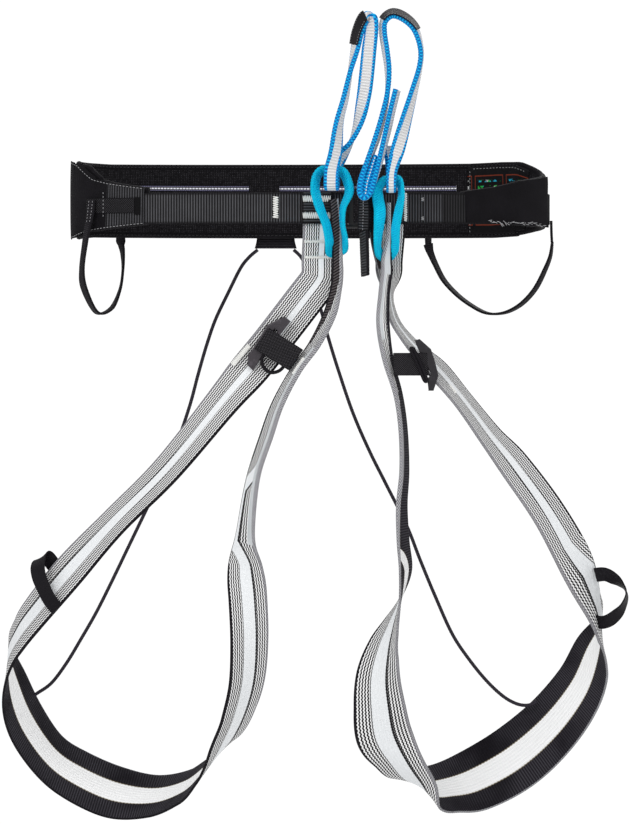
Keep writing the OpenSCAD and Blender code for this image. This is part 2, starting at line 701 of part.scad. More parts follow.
module right_leg_bar_tacks()
    color("#f0f0ee")
        translate([112, -88, -150])
            rotate([0, -38, 0])
                cube([2, 1, 8], center = true);

// ---- Release hooks ----

// Plate with the given outline in x and z, from y_back towards the front
module plate(outline, y_back, thick)
    translate([0, y_back, 0])
        rotate([90, 0, 0])
            linear_extrude(thick)
                polygon(outline);

module slot(x, y, z, angle, long, wide)
    translate([x, y, z])
        rotate([0, angle, 0])
            cube([wide, 20, long], center = true);

module left_hook()
    color("#4a464b")
        difference() {
            plate(left_hook_outline, -70, 3.4);
            slot(-33, -72, -111, 38, 18, 3);
        }

module right_hook()
    color("#3c393e")
        difference() {
            plate(right_hook_outline, -82, 3.4);
            slot(93, -84, -131, -15, 10, 2);
        }

module left_hook_band()
    color("#232125")
        ribbon(left_band_rows);

module right_hook_band()
    color("#232125")
        ribbon(right_band_rows);

module ring_band(centre, tilt, long, wide)
    translate(centre)
        rotate([90, tilt, 0])
            linear_extrude(2)
                difference() {
                    square([wide, long], center = true);
                    square([wide - 3, long - 3], center = true);
                }

module left_hook_ring()
    color("#262428")
        ring_band([-30, -79, -132], 55, 16, 7);

module right_hook_ring()
    color("#262428")
        ring_band([84, -86, -133], -15, 24, 6);

back_panel();
wing_cover();
wing_patch();
waist_webbing();
doubled_webbing();
reflective_tape();
waist_label();
size_tag();
waist_bar_tacks();
buckle_frame();
buckle_slider();
webbing_tail();
riser_tab();
left_riser();
right_riser();
left_connector_loop();
right_connector_loop();
left_strap_anchor();
right_strap_anchor();
anchor_bar_tacks();
left_inner_anchor();
right_inner_anchor();
left_sling();
left_sling_label();
right_sling();
right_sling_label();
left_gear_anchor();
left_gear_loop();
right_gear_anchor();
right_gear_loop();
left_leg_strap();
left_label_tab();
left_leg_bar_tacks();
right_leg_strap();
right_label_tab();
right_leg_bar_tacks();
left_hook_band();
left_hook();
left_hook_ring();
right_hook_band();
right_hook();
right_hook_ring();
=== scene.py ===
"""Looks of the climbing harness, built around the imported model.

Every strap is a swept ribbon of woven webbing that follows the same route as its CAD solid.
Routes are written in millimetres, as in the CAD source, and MM turns them to metres.
"""

import math

import bmesh
import bpy
import numpy as np
from mathutils import Matrix, Vector


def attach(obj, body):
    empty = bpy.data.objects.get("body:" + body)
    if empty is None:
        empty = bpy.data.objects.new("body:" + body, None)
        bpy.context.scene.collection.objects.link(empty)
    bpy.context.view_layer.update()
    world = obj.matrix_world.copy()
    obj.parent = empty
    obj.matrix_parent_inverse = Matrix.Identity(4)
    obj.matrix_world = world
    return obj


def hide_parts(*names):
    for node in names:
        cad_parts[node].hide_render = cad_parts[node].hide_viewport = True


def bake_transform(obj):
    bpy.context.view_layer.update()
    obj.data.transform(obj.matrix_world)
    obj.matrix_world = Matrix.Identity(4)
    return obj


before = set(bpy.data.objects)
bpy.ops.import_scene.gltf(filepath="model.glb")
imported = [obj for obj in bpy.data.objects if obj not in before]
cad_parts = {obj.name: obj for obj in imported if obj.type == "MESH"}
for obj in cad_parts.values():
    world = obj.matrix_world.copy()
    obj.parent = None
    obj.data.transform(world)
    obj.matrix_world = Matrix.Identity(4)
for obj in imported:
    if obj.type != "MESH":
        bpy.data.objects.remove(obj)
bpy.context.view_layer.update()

MM = 0.001
rng = np.random.default_rng(7)

# ---------------------------------------------------------------- the waist loop

BELT_HALF_W = 189.5
BELT_HALF_D = 65.0
WEBBING_Z = -7.0
WEBBING_W = 25.0
PANEL_TOP = [(-50, 6.5), (-46, 8), (-38, 10.5), (-26, 16), (-10, 19), (0, 21), (9, 23.5),
             (19, 28.5), (26, 32), (34, 32), (46, 31), (150, 30), (180, 32), (187, 31),
             (194, 29), (199, 24), (205, 17.5), (213, 14), (226, 10)]
PANEL_BOTTOM = [(-50, -18), (-38, -19), (-26, -20.5), (-10, -21.5), (0, -22.5), (9, -24),
                (19, -26), (28, -28), (38, -29), (160, -29), (180, -31), (190, -30),
                (202, -25.5), (208, -24), (226, -20)]


def lookup(angle, table):
    return float(np.interp(angle, [row[0] for row in table], [row[1] for row in table]))


def belt_point(angle, out, z):
    """Point (mm) on the waist loop, moved out from it; 90 degrees is the middle of the back."""
    a = math.radians(angle)
    return ((BELT_HALF_W + out) * math.cos(a), (BELT_HALF_D + out) * math.sin(a), z)


def front_angle(x):
    """Angle at which the front half of the waist loop passes x."""
    return 360 - math.degrees(math.acos(x / BELT_HALF_W))


def belt_band(start, end, out, bottom, top, thick, step=2.0):
    """Rows of an upright band along the waist loop; bottom and top are heights or tables."""
    rows = []
    for angle in np.linspace(start, end, max(2, round((end - start) / step) + 1)):
        low = lookup(angle, bottom) if isinstance(bottom, list) else bottom
        high = lookup(angle, top) if isinstance(top, list) else top
        rows.append((*belt_point(angle, out, (low + high) / 2), high - low, thick, 0, 0, 1))
    return rows


# ---------------------------------------------------------------- routes, as in the CAD source


def route(width, thick, points):
    """Rows (x, y, z, width, thickness, way across) of a ribbon from points (x, y, z, way across).

    A point that ends in a width, or in a width and a thickness, has its own.
    """
    usual = (width, thick)
    return [(*p[:3], *p[6:], *usual[len(p) - 6:], *p[3:6]) for p in points]

LEG_T = 2.0

LEFT_LEG = route(31, LEG_T, [
    (8, -62, -58, 1, 0, 0), (6, -62.4, -65, 1, 0, -0.1), (-7, -64, -82, 0.85, 0.1, -0.5),
    (-38, -67, -122, 0.8, 0.1, -0.6), (-68, -70, -158, 0.65, -0.45, -0.5),
    (-114, -70, -214, 0.52, -0.65, -0.52), (-156, -62, -256, 0.5, -0.7, -0.5),
    (-191, -48, -294, 0.55, -0.6, -0.55, 33), (-218, -30, -326, 0.47, -0.75, -0.35, 36),
    (-233, -12, -346, 0.32, -0.9, -0.16, 40), (-242, 8, -366, 0, -0.85, -0.5, 44),
    (-239, 28, -391, -0.35, -0.8, -0.35, 48), (-229, 48, -419, -0.45, -0.75, -0.4, 52),
    (-210, 64, -447, -0.38, -0.75, -0.48, 55), (-188, 72, -463, -0.35, -0.68, -0.62, 55),
    (-158, 76, -476, -0.2, -0.65, -0.74, 54), (-127, 70, -479, -0.1, -0.77, -0.64, 50),
    (-102, 52, -471, -0.1, -0.88, -0.5, 46), (-86, 32, -457, -0.3, -0.8, -0.5, 43),
    (-76, 16, -444, -0.45, -0.75, -0.45, 42), (-67, 2, -430, -0.5, -0.83, -0.1, 41),
    (-58, -14, -410, -0.5, -0.85, 0.1, 40), (-51, -34, -383, -0.75, -0.66, 0, 36),
    (-49, -50, -351, -0.9, -0.42, 0, 33), (-50, -60, -319, -0.98, -0.1, 0),
    (-52, -66, -291, -0.87, 0.45, 0), (-52, -70, -266, -0.6, 0.8, 0, 24, 3),
    (-46, -72, -222, -0.66, 0.75, 0, 15, 4), (-35, -73, -187, -0.66, 0.75, 0, 15, 4),
    (-26, -74, -162, -0.6, 0.8, 0, 15, 4), (-12, -74, -136, -0.6, 0.8, 0, 14, 4),
    (3, -73, -115, -0.7, 0.7, 0, 13, 4), (15, -72, -91, -0.8, 0.5, 0, 12, 4.5),
    (20, -71, -70, -0.95, 0.3, 0, 10, 5), (21, -71, -58, -0.95, 0.3, 0, 10, 5),
])

RIGHT_LEG = route(31, LEG_T, [
    (62, -60, -58, 0.95, 0.3, 0, 22), (62, -60, -76, 0.3, 0.95, 0, 20),
    (66, -60, -95, 0.35, 0.93, 0.05, 20), (75, -62, -109, 0.4, 0.9, 0.1, 22),
    (87, -65, -122, 0.4, 0.87, 0.25, 26), (101, -67, -136, 0.45, 0.85, 0.3),
    (121, -69, -160, 0.4, 0.87, 0.3), (143, -68, -189, 0.48, 0.79, 0.38),
    (162, -64, -212, 0.65, 0.6, 0.47), (188, -54, -248, 0.67, 0.57, 0.47, 33),
    (210, -36, -287, 0.7, 0.63, 0.31, 36), (226, -14, -323, 0.35, 0.93, 0.1, 40),
    (232, 4, -343, 0, 0.8, 0.6, 43), (226, 20, -364, -0.54, 0.75, 0.3, 47),
    (215, 38, -392, -0.66, 0.6, 0.44, 51), (193, 56, -422, -0.67, 0.45, 0.59, 54),
    (164, 68, -448, -0.55, 0.25, 0.8, 55), (132, 68, -466, -0.37, 0.35, 0.87, 54),
    (109, 56, -472, -0.4, 0.45, 0.8, 48), (94, 38, -472, -0.6, 0.3, 0.75, 44),
    (82, 20, -464, -0.8, 0.5, 0.1, 44), (71, 2, -450, -0.8, 0.5, -0.2, 44),
    (59, -14, -429, -0.98, 0.1, -0.15, 46), (55, -30, -405, -0.98, 0.2, 0, 43),
    (54, -42, -381, -0.88, 0.48, 0, 40), (58, -52, -358, -0.67, 0.74, 0, 36),
    (64, -59, -339, -0.4, 0.92, 0, 32), (71, -64, -318, 0, 1, 0, 30),
    (75, -68, -295, 0.35, 0.93, 0, 27), (73, -71, -271, 0.45, 0.9, 0, 20, 3),
    (72, -73, -243, 0.5, 0.86, 0, 15, 4), (74, -74, -215, 0.4, 0.9, 0, 15, 4),
    (73, -75, -183, 0.35, 0.93, 0, 15, 4), (69, -76, -155, 0.4, 0.9, 0, 14, 4),
    (61, -77, -127, 0.6, 0.8, 0, 13, 4), (57, -77, -99, 0.85, 0.5, 0, 12, 4),
    (58, -75, -75, 0.9, 0.35, 0, 10, 5), (60, -73, -58, 0.95, 0.3, 0, 10, 5),
])

LEFT_ANCHOR = route(31, LEG_T, [
    (9, -62, -3, 1, 0, 0), (9, -62, -24, 1, 0, 0), (8, -62, -48, 1, 0, 0),
])
RIGHT_ANCHOR = route(24, LEG_T, [
    (63, -57, -3, 1, 0.12, 0), (63, -57, -24, 1, 0.12, 0), (62, -60, -48, 1, 0.15, 0, 22),
])
LEFT_INNER_ANCHOR = [
    (18, -72.3, 0, 8, 2.9, -0.98, 0.15, 0),
    (20, -72.3, -20, 8.5, 2.9, -0.98, 0.15, 0),
    (21, -71, -48, 9, 4.5, -0.95, 0.3, 0),
]
RIGHT_INNER_ANCHOR = [
    (62.5, -74, -3, 5, 4.5, 0.95, 0.3, 0),
    (62, -74, -27, 5.5, 4.5, 0.95, 0.3, 0),
    (60, -73, -48, 9, 4.5, 0.95, 0.3, 0),
]

CON_W = 12.0
CON_T = 2.4
LEFT_CONNECTOR = route(CON_W, CON_T, [
    (15.5, -79, 22.5, 0, -0.83, 0.55), (25, -79, 21, 0.3, -0.83, 0.5),
    (29.5, -79, 12, 0.5, -0.83, 0.2), (30, -79, 4, 0.5, -0.85, 0), (25.5, -80, -7, 0.3, -0.95, 0),
    (25, -80, -20, 0.2, -0.97, 0, 11), (27, -78, -31, 0.3, -0.9, -0.3, 10),
    (26.5, -72.5, -38.5, 0.3, -0.3, -0.9, 9), (20, -66.5, -41.5, 0, 0, -1, 9),
    (14.5, -72.5, -41, -0.3, -0.3, -0.9, 9.5), (14.5, -78, -34, -0.5, -0.8, -0.2, 11),
    (12, -80, -20, -0.55, -0.83, 0, 11), (7, -80, -7, -0.55, -0.83, 0),
    (3.5, -79, 6, -0.55, -0.83, 0), (4.2, -79, 16.5, -0.45, -0.83, 0.3, 11.5),
    (8.5, -79, 22.3, -0.25, -0.83, 0.5, 11),
])
RIGHT_CONNECTOR = route(CON_W, CON_T, [
    (63.5, -84, 15, 0, -0.83, 0.55), (69.5, -84, 13.8, 0.25, -0.83, 0.5, 11.5),
    (71.6, -84, 3, 0.3, -0.95, 0, 11.5), (69.5, -84, -9, 0.5, -0.85, 0, 11),
    (67, -83, -24, 0.6, -0.8, 0, 10), (66.5, -77, -39, 0.4, -0.4, -0.8, 9.5),
    (60.5, -66.3, -46, 0, 0, -1, 9), (53.5, -75, -42, -0.3, -0.3, -0.9, 9.5),
    (53, -81, -31, -0.5, -0.8, -0.2, 11), (54, -81, -20, -0.7, -0.7, 0, 11),
    (54.5, -80.5, -9, -0.95, -0.3, 0, 10), (53, -80, 1, -0.95, -0.3, 0.1, 9.5),
    (53.4, -81, 8.5, -0.85, -0.5, 0.2, 8.5), (58, -83.5, 14.5, -0.4, -0.8, 0.4, 10),
])

SLING_W = 12.0
BIGHT_W = 8.0
SLING_T = 2.2
LEFT_SLING = route(SLING_W, SLING_T, [
    (18, -70.2, 23, 1, 0, 0), (17, -72.8, 12, 1, 0, 0), (16.5, -79, 8, 1, 0, 0),
    (16, -85.2, 12, 1, 0, 0), (16.5, -87.8, 23, 1, 0.1, 0), (19.5, -88, 38, 0.85, 0.5, 0),
    (22, -87, 60, 0.5, 0.87, 0), (27, -85, 80, 0.3, 0.95, 0), (31, -83, 100, 0, 1, 0),
    (35, -82, 118, -0.45, 0.87, 0), (38, -82, 132, -0.55, 0.8, 0.1),
    (43, -82, 143, -0.5, 0.75, 0.4), (48, -84, 143, -0.5, 0.8, 0.3), (48, -86, 134, -0.85, 0.5, 0),
    (46, -86, 118, -0.97, 0.2, 0), (44, -86, 98, -1, 0.1, 0), (42, -84, 82, -0.95, 0.3, 0),
    (38, -80, 62, -0.6, 0.8, 0), (32, -76, 46, 0, 1, 0), (24, -71.5, 34, 0.8, 0.5, 0),
])
RIGHT_SLING = route(SLING_W, SLING_T, [
    (68, -87, 86, 0.3, 0.95, 0), (64, -88, 70, 0.3, 0.95, 0), (60, -89, 52, 0.3, 0.95, 0),
    (54, -90, 28, 0.2, 0.98, 0), (49, -90, 12, 0, 1, 0), (46, -90, 4, 0, 1, 0),
    (42, -90, 1, 0, 1, 0), (39, -90, 5, 0, 1, 0), (40, -90, 15, 0, 1, 0),
    (45, -90, 29, 0.2, 0.98, 0), (52, -88, 48, 0.3, 0.95, 0), (57, -87, 66, 0.2, 0.98, 0),
    (60.5, -86, 84, 0, 1, 0), (61, -86, 102, -0.2, 0.95, 0), (59, -85, 118, -0.3, 0.93, 0),
    (57, -84, 132, -0.3, 0.9, 0.1), (58, -84, 141, -0.2, 0.85, 0.3), (65, -84, 146, 0, 0.85, 0.4),
    (75, -84, 142, 0.1, 0.87, 0.4), (83, -84, 133, 0.2, 0.9, 0.2), (87, -84, 118, 0.1, 1, 0),
    (86, -85, 104, 0.1, 1, 0), (81, -87, 84, 0.4, 0.9, 0), (75, -89, 62, 0.7, 0.7, 0),
    (69, -91, 40, 0.95, 0.3, 0), (64.5, -92.8, 24, 1, 0.1, 0, BIGHT_W + 1),
    (63.5, -92.8, 15, 1, 0, 0, BIGHT_W), (63.5, -90.2, 8.8, 1, 0, 0, BIGHT_W),
    (63.5, -84, 6.2, 1, 0, 0, BIGHT_W), (63.5, -77.8, 8.8, 1, 0, 0, BIGHT_W),
    (63.5, -75.2, 15, 1, 0, 0, BIGHT_W), (63.5, -76, 26, 1, 0, 0, BIGHT_W + 1),
    (63, -78, 42, 1, 0, 0),
])

GEAR_W = 8.0
GEAR_T = 1.8
LEFT_GEAR = route(GEAR_W, GEAR_T, [
    (-177.3, -33.5, -18, 0.6, -0.8, 0), (-180, -31, -34, 0.5, -0.85, 0),
    (-182.6, -25, -55, 0.45, -0.9, 0), (-180.8, -15, -71, 0.6, -0.8, 0),
    (-171.5, 2, -89, 0.4, -0.9, 0), (-160.5, 18, -86, 0.4, -0.9, 0), (-153.6, 31, -71, 0.15, -1, 0),
    (-151.2, 39, -55, 0.1, -1, 0), (-151.4, 42, -42, 0.35, -0.93, 0),
    (-152.8, 40.5, -34, 0.7, -0.7, 0, 7),
])
RIGHT_GEAR = route(GEAR_W, GEAR_T, [
    (94.4, 58, -33.5, 0.95, 0.2, 0), (96, 58.5, -40, 0.7, 0.7, 0), (100.8, 57, -51, 0.54, 0.84, 0),
    (107.2, 54, -63, 0.54, 0.84, 0), (117.6, 48.5, -74.4, 0.54, 0.84, 0),
    (128.8, 42, -83, 0.54, 0.84, 0), (140, 35.5, -89, 0.54, 0.84, 0),
    (150, 29.5, -90, 0.54, 0.84, 0), (160, 23, -87.5, 0.54, 0.84, 0),
    (170.4, 16.5, -80.8, 0.54, 0.84, 0), (180, 10, -69.6, 0.5, 0.86, 0),
    (187.2, 4, -55.2, 0.4, 0.9, 0), (191.4, -1, -44, 0.25, 0.96, 0), (192.8, -4, -33.5, 0.1, 1, 0),
])

RISER_D = 2.8
LEFT_RISER = [
    (-43, 67, -38), (-50, 68, -44), (-57, 69, -53), (-67, 70, -73), (-77, 71, -94),
    (-84, 72, -114), (-91, 73, -138), (-98, 73, -164), (-109, 74, -196), (-122, 74, -225),
    (-136, 74, -254), (-149, 73, -281), (-161, 71, -306), (-173, 69, -330), (-185, 67, -351),
    (-197, 64, -371), (-209, 61, -387), (-220, 59, -395), (-224, 58.3, -397.5),
]
RIGHT_RISER = [
    (-14, 67, -38), (-8, 68, -44), (-3, 69, -54), (7, 70, -83), (14, 71, -109),
    (23, 72, -138), (34, 72, -170), (47, 72, -200), (60, 72, -226), (77, 71, -260),
    (88, 70, -288), (100, 69, -317), (114, 68, -348), (128, 66, -369), (142, 64, -386),
    (155, 62, -398), (166, 60, -404), (175, 59, -405), (182, 58, -402),
]

# ---------------------------------------------------------------- meshes

EDGE_POINTS = 3


def unit(vectors):
    return vectors / np.linalg.norm(vectors, axis=-1, keepdims=True)


def smooth(rows, spacing, closed=False):
    """Rows on a smooth run through the given ones, about spacing (mm) apart."""
    rows = np.array(rows, float)
    n = len(rows)
    parts = []
    for i in range(n if closed else n - 1):
        near = [i - 1, i, i + 1, i + 2]
        a, b, c, d = (rows[j % n if closed else min(max(j, 0), n - 1)] for j in near)
        count = max(1, round(np.linalg.norm(c[:3] - b[:3]) / spacing))
        k = (np.arange(count) / count)[:, None]
        parts.append(
            0.5 * (2 * b + (c - a) * k + (2 * a - 5 * b + 4 * c - d) * k**2
                   + (3 * b - a - 3 * c + d) * k**3)
        )
    if not closed:
        parts.append(rows[-1:])
    return np.concatenate(parts)


def directions(places, closed):
    if closed:
        return unit(np.roll(places, -1, axis=0) - np.roll(places, 1, axis=0))
    return unit(np.gradient(places, axis=0))


def run_so_far(points):
    """Length of a line up to each of its points."""
    return np.concatenate([[0], np.cumsum(np.linalg.norm(np.diff(points, axis=0), axis=1))])


def lay(rows, closed=False):
    """Places, ways across, outward normals and lengths so far of a ribbon's rows, in metres."""
    places = rows[:, :3] * MM
    along = directions(places, closed)
    across = rows[:, 5:8]
    across = unit(across - np.sum(across * along, axis=1, keepdims=True) * along)
    return places, across, np.cross(along, across), run_so_far(np.vstack([places, places[:1]]))


def build(name, verts, faces, uvs, slots, look):
    """Object from a mesh with the UV map "Strap", one uv for each corner of each face."""
    mesh = bpy.data.meshes.new(name)
    mesh.from_pydata(np.asarray(verts).tolist(), [], faces)
    for material in look:
        mesh.materials.append(material)
    layer = mesh.uv_layers.new(name="Strap")
    layer.data.foreach_set("uv", np.asarray(uvs, np.float32).ravel())
    mesh.polygons.foreach_set("material_index", np.asarray(slots, np.int32))
    mesh.polygons.foreach_set("use_smooth", np.ones(len(mesh.polygons), bool))
    tidy = bmesh.new()
    tidy.from_mesh(mesh)
    bmesh.ops.recalc_face_normals(tidy, faces=tidy.faces)
    tidy.to_mesh(mesh)
    tidy.free()
    piece = bpy.data.objects.new(name, mesh)
    bpy.context.scene.collection.objects.link(piece)
    return piece


def sheath(name, rings, across, run, slots, look, closed):
    """Skin through rings of points; across holds the uv's two ends for each step of a ring."""
    count, size = rings.shape[:2]
    spans = count if closed else count - 1
    i = np.arange(spans)[:, None]
    j = np.arange(size)[None, :]
    near, far = i * size, ((i + 1) % count) * size
    quads = np.stack([near + j, far + j, far + (j + 1) % size, near + (j + 1) % size], axis=-1)
    uvs = np.empty((spans, size, 4, 2))
    uvs[..., 0, 0] = across[:spans, :, 0]
    uvs[..., 1, 0] = across[(np.arange(spans) + 1) % count, :, 0]
    uvs[..., 2, 0] = across[(np.arange(spans) + 1) % count, :, 1]
    uvs[..., 3, 0] = across[:spans, :, 1]
    uvs[..., 0, 1] = uvs[..., 3, 1] = run[:spans, None]
    uvs[..., 1, 1] = uvs[..., 2, 1] = run[1:spans + 1, None]
    faces = quads.reshape(-1, 4).tolist()
    uvs = uvs.reshape(-1, 2)
    slots = np.asarray(slots)[:spans].ravel()
    if not closed:
        faces += [list(range(size)), list(range((count - 1) * size, count * size))[::-1]]
        uvs = np.vstack([uvs, np.full((2 * size, 2), 0.5)])
        slots = np.append(slots, [slots[size // 4]] * 2)
    return build(name, rings.reshape(-1, 3), faces, uvs, slots, look)


def ribbon(name, rows, look, spacing=1.0, closed=False, columns=10, relief=None, spans=None,
           paint=None, oval=0.0):
    """Ribbon with round edges through the rows.

    look is [outer, inner, edge at -across, edge at +across, more...]. relief(s, run) gives how
    far the faces stand proud, in metres, with s from -1 to 1 across. spans(rows) gives each
    row's range of u. paint(outer, s, rows) gives each face column's material, or -1 to leave it.
    """
    fine = smooth(rows, spacing, closed)
    places, across, outward, run = lay(fine, closed)
    half_w, half_t = fine[:, 3:4] * MM / 2, fine[:, 4:5] * MM / 2
    corner = np.clip(half_t / half_w, 0.02, 0.9)
    face = np.linspace(-1, 1, columns + 1)[None, :]
    bend = np.radians(np.linspace(90, -90, EDGE_POINTS + 2)[1:-1])[None, :]
    flat = face * (1 - corner)
    curl = 1 - corner + corner * np.cos(bend)
    high = np.ones_like(flat)
    arc = np.repeat(np.sin(bend), len(fine), axis=0)
    s = np.concatenate([flat, curl, flat[:, ::-1], -curl[:, ::-1]], axis=1)
    h = np.concatenate([high, arc, -high, -arc], axis=1)
    lift = h * half_t * np.sqrt(1 - (oval * np.clip(s, -1, 1)) ** 2)
    if relief:
        lift += np.sign(h) * np.abs(h) * relief(s, run[:len(fine), None])
    rings = (places[:, None] + across[:, None] * (s * half_w)[..., None]
             + outward[:, None] * lift[..., None])
    ends = spans(fine) if spans else np.tile([0.0, 1.0], (len(fine), 1))
    u = ends[:, :1] + (ends[:, 1:] - ends[:, :1]) * (face + 1) / 2
    steps = np.linspace(0, 1, EDGE_POINTS + 2)
    edge = np.tile(np.stack([steps[:-1], steps[1:]], axis=-1), (len(fine), 1, 1))
    top = np.stack([u[:, :-1], u[:, 1:]], axis=-1)
    uvs = np.concatenate([top, edge, top[:, ::-1, ::-1], edge], axis=1)
    slots = np.repeat([0, 3, 1, 2], [columns, EDGE_POINTS + 1, columns, EDGE_POINTS + 1])
    slots = np.tile(slots, (len(fine), 1))
    if paint:
        middles = (face[:, :-1] + face[:, 1:]) / 2
        for outer, start in ((True, 0), (False, columns + EDGE_POINTS + 1)):
            chosen = paint(outer, middles if outer else middles[:, ::-1], fine)
            part = slots[:, start:start + columns]
            part[:] = np.where(chosen >= 0, chosen, part)
    return sheath(name, rings, uvs, run, slots, look, closed)


def tube(name, points, radius, look, sides=12, spacing=2.0, closed=False, relief=None):
    """Round tube (mm) on a smooth run through the points."""
    fine = smooth(points, spacing, closed)
    places = fine[:, :3] * MM
    along = directions(places, closed)
    side = unit(np.cross(along[0], [0.31, 0.17, 0.93]))
    a = np.empty_like(along)
    for i, direction in enumerate(along):
        a[i] = side = unit(side - np.dot(side, direction) * direction)
    b = np.cross(along, a)
    turn = np.linspace(0, 2 * math.pi, sides, endpoint=False)
    run = run_so_far(np.vstack([places, places[:1]]))
    size = np.full((len(places), sides), radius * MM)
    if relief:
        size += relief(turn[None, :], run[:len(places), None])
    rings = (places[:, None] + a[:, None] * (np.cos(turn) * size)[..., None]
             + b[:, None] * (np.sin(turn) * size)[..., None])
    steps = np.arange(sides) / sides
    uvs = np.tile(np.stack([steps, steps + 1 / sides], axis=-1), (len(places), 1, 1))
    slots = np.zeros((len(places), sides), int)
    return sheath(name, rings, uvs, run, slots, [look], closed)


def stitches(name, pairs, radius, look):
    """Short round-ended threads, one from each pair of points (mm)."""
    steps, girth, sides = (0.0, 0.2, 0.8, 1.0), (0.35, 1.0, 1.0, 0.35), 6
    verts, faces = [], []
    for start, end in np.asarray(pairs, float) * MM:
        way = unit(end - start)
        a = unit(np.cross(way, [0.23, 0.35, 0.91]))
        b = np.cross(way, a)
        base = len(verts)
        for step, wide in zip(steps, girth):
            for turn in np.linspace(0, 2 * math.pi, sides, endpoint=False):
                ray = a * math.cos(turn) + b * math.sin(turn)
                verts.append(start + (end - start) * step + ray * radius * MM * wide)
        for i in range(len(steps) - 1):
            for j in range(sides):
                k = (j + 1) % sides
                row, after = base + i * sides, base + (i + 1) * sides
                faces.append([row + j, row + k, after + k, after + j])
        faces.append([base + j for j in reversed(range(sides))])
        faces.append([base + (len(steps) - 1) * sides + j for j in range(sides)])
    corners = sum(len(face) for face in faces)
    return build(name, verts, faces, np.zeros((corners, 2)), np.zeros(len(faces)), [look])


def plate(name, outline, holes, y_middle, thick, bevel, look):
    """Flat plate with bevelled edges, its outline and holes given in x and z (mm)."""
    curve = bpy.data.curves.new(name, "CURVE")
    curve.dimensions, curve.fill_mode = "2D", "BOTH"
    curve.extrude = (thick / 2 - bevel) * MM
    curve.bevel_depth, curve.bevel_resolution, curve.offset = bevel * MM, 2, -bevel * MM
    for points in [outline, *holes]:
        spline = curve.splines.new("POLY")
        spline.points.add(len(points) - 1)
        for point, (x, z) in zip(spline.points, points):
            point.co = (x * MM, z * MM, 0, 1)
        spline.use_cyclic_u = True
    drawn = bpy.data.objects.new(name + "_drawn", curve)
    bpy.context.scene.collection.objects.link(drawn)
    bpy.context.view_layer.update()
    shape = drawn.evaluated_get(bpy.context.evaluated_depsgraph_get())
    mesh = bpy.data.meshes.new_from_object(shape)
    bpy.data.objects.remove(drawn)
    mesh.name = name
    mesh.transform(Matrix.Translation((0, y_middle * MM, 0)) @ Matrix.Rotation(math.pi / 2, 4, "X"))
    mesh.materials.clear()
    mesh.materials.append(look)
    piece = bpy.data.objects.new(name, mesh)
    bpy.context.scene.collection.objects.link(piece)
    return piece


def joined(name, pieces):
    """One piece from several that share their look."""
    whole = bmesh.new()
    for piece in pieces:
        whole.from_mesh(piece.data)
    mesh = pieces[0].data
    whole.to_mesh(mesh)
    whole.free()
    for piece in pieces[1:]:
        bpy.data.objects.remove(piece)
    pieces[0].name = mesh.name = name
    return pieces[0]


def put(piece, body, slot, *nodes):
    """The piece rides on the body and replaces the nodes; the slot is not used."""
    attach(piece, body)
    return stand_for(piece, slot, *nodes)


def stand_for(piece, slot, *nodes):
    """The piece replaces the nodes, which are hidden; the slot is not used."""
    if nodes:
        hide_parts(*nodes)
    return piece


# ---------------------------------------------------------------- materials


def colour(code):
    """Linear colour of a #rrggbb code."""
    parts = [int(code[i:i + 2], 16) / 255 for i in (1, 3, 5)]
    return (*(p / 12.92 if p <= 0.04045 else ((p + 0.055) / 1.055) ** 2.4 for p in parts), 1)


class Signal:
    """Output of a shader node. Arithmetic on it adds math nodes to the same material."""

    def __init__(self, shade, socket):
        self.shade, self.socket = shade, socket

    def __add__(self, other):
        return self.shade.calc("ADD", self, other)

    def __radd__(self, other):
        return self.shade.calc("ADD", other, self)

    def __sub__(self, other):
        return self.shade.calc("SUBTRACT", self, other)

    def __rsub__(self, other):
        return self.shade.calc("SUBTRACT", other, self)

    def __mul__(self, other):
        return self.shade.calc("MULTIPLY", self, other)

    def __pow__(self, other):
        return self.shade.calc("POWER", self, other)

    def __abs__(self):
        return self.shade.calc("ABSOLUTE", self)


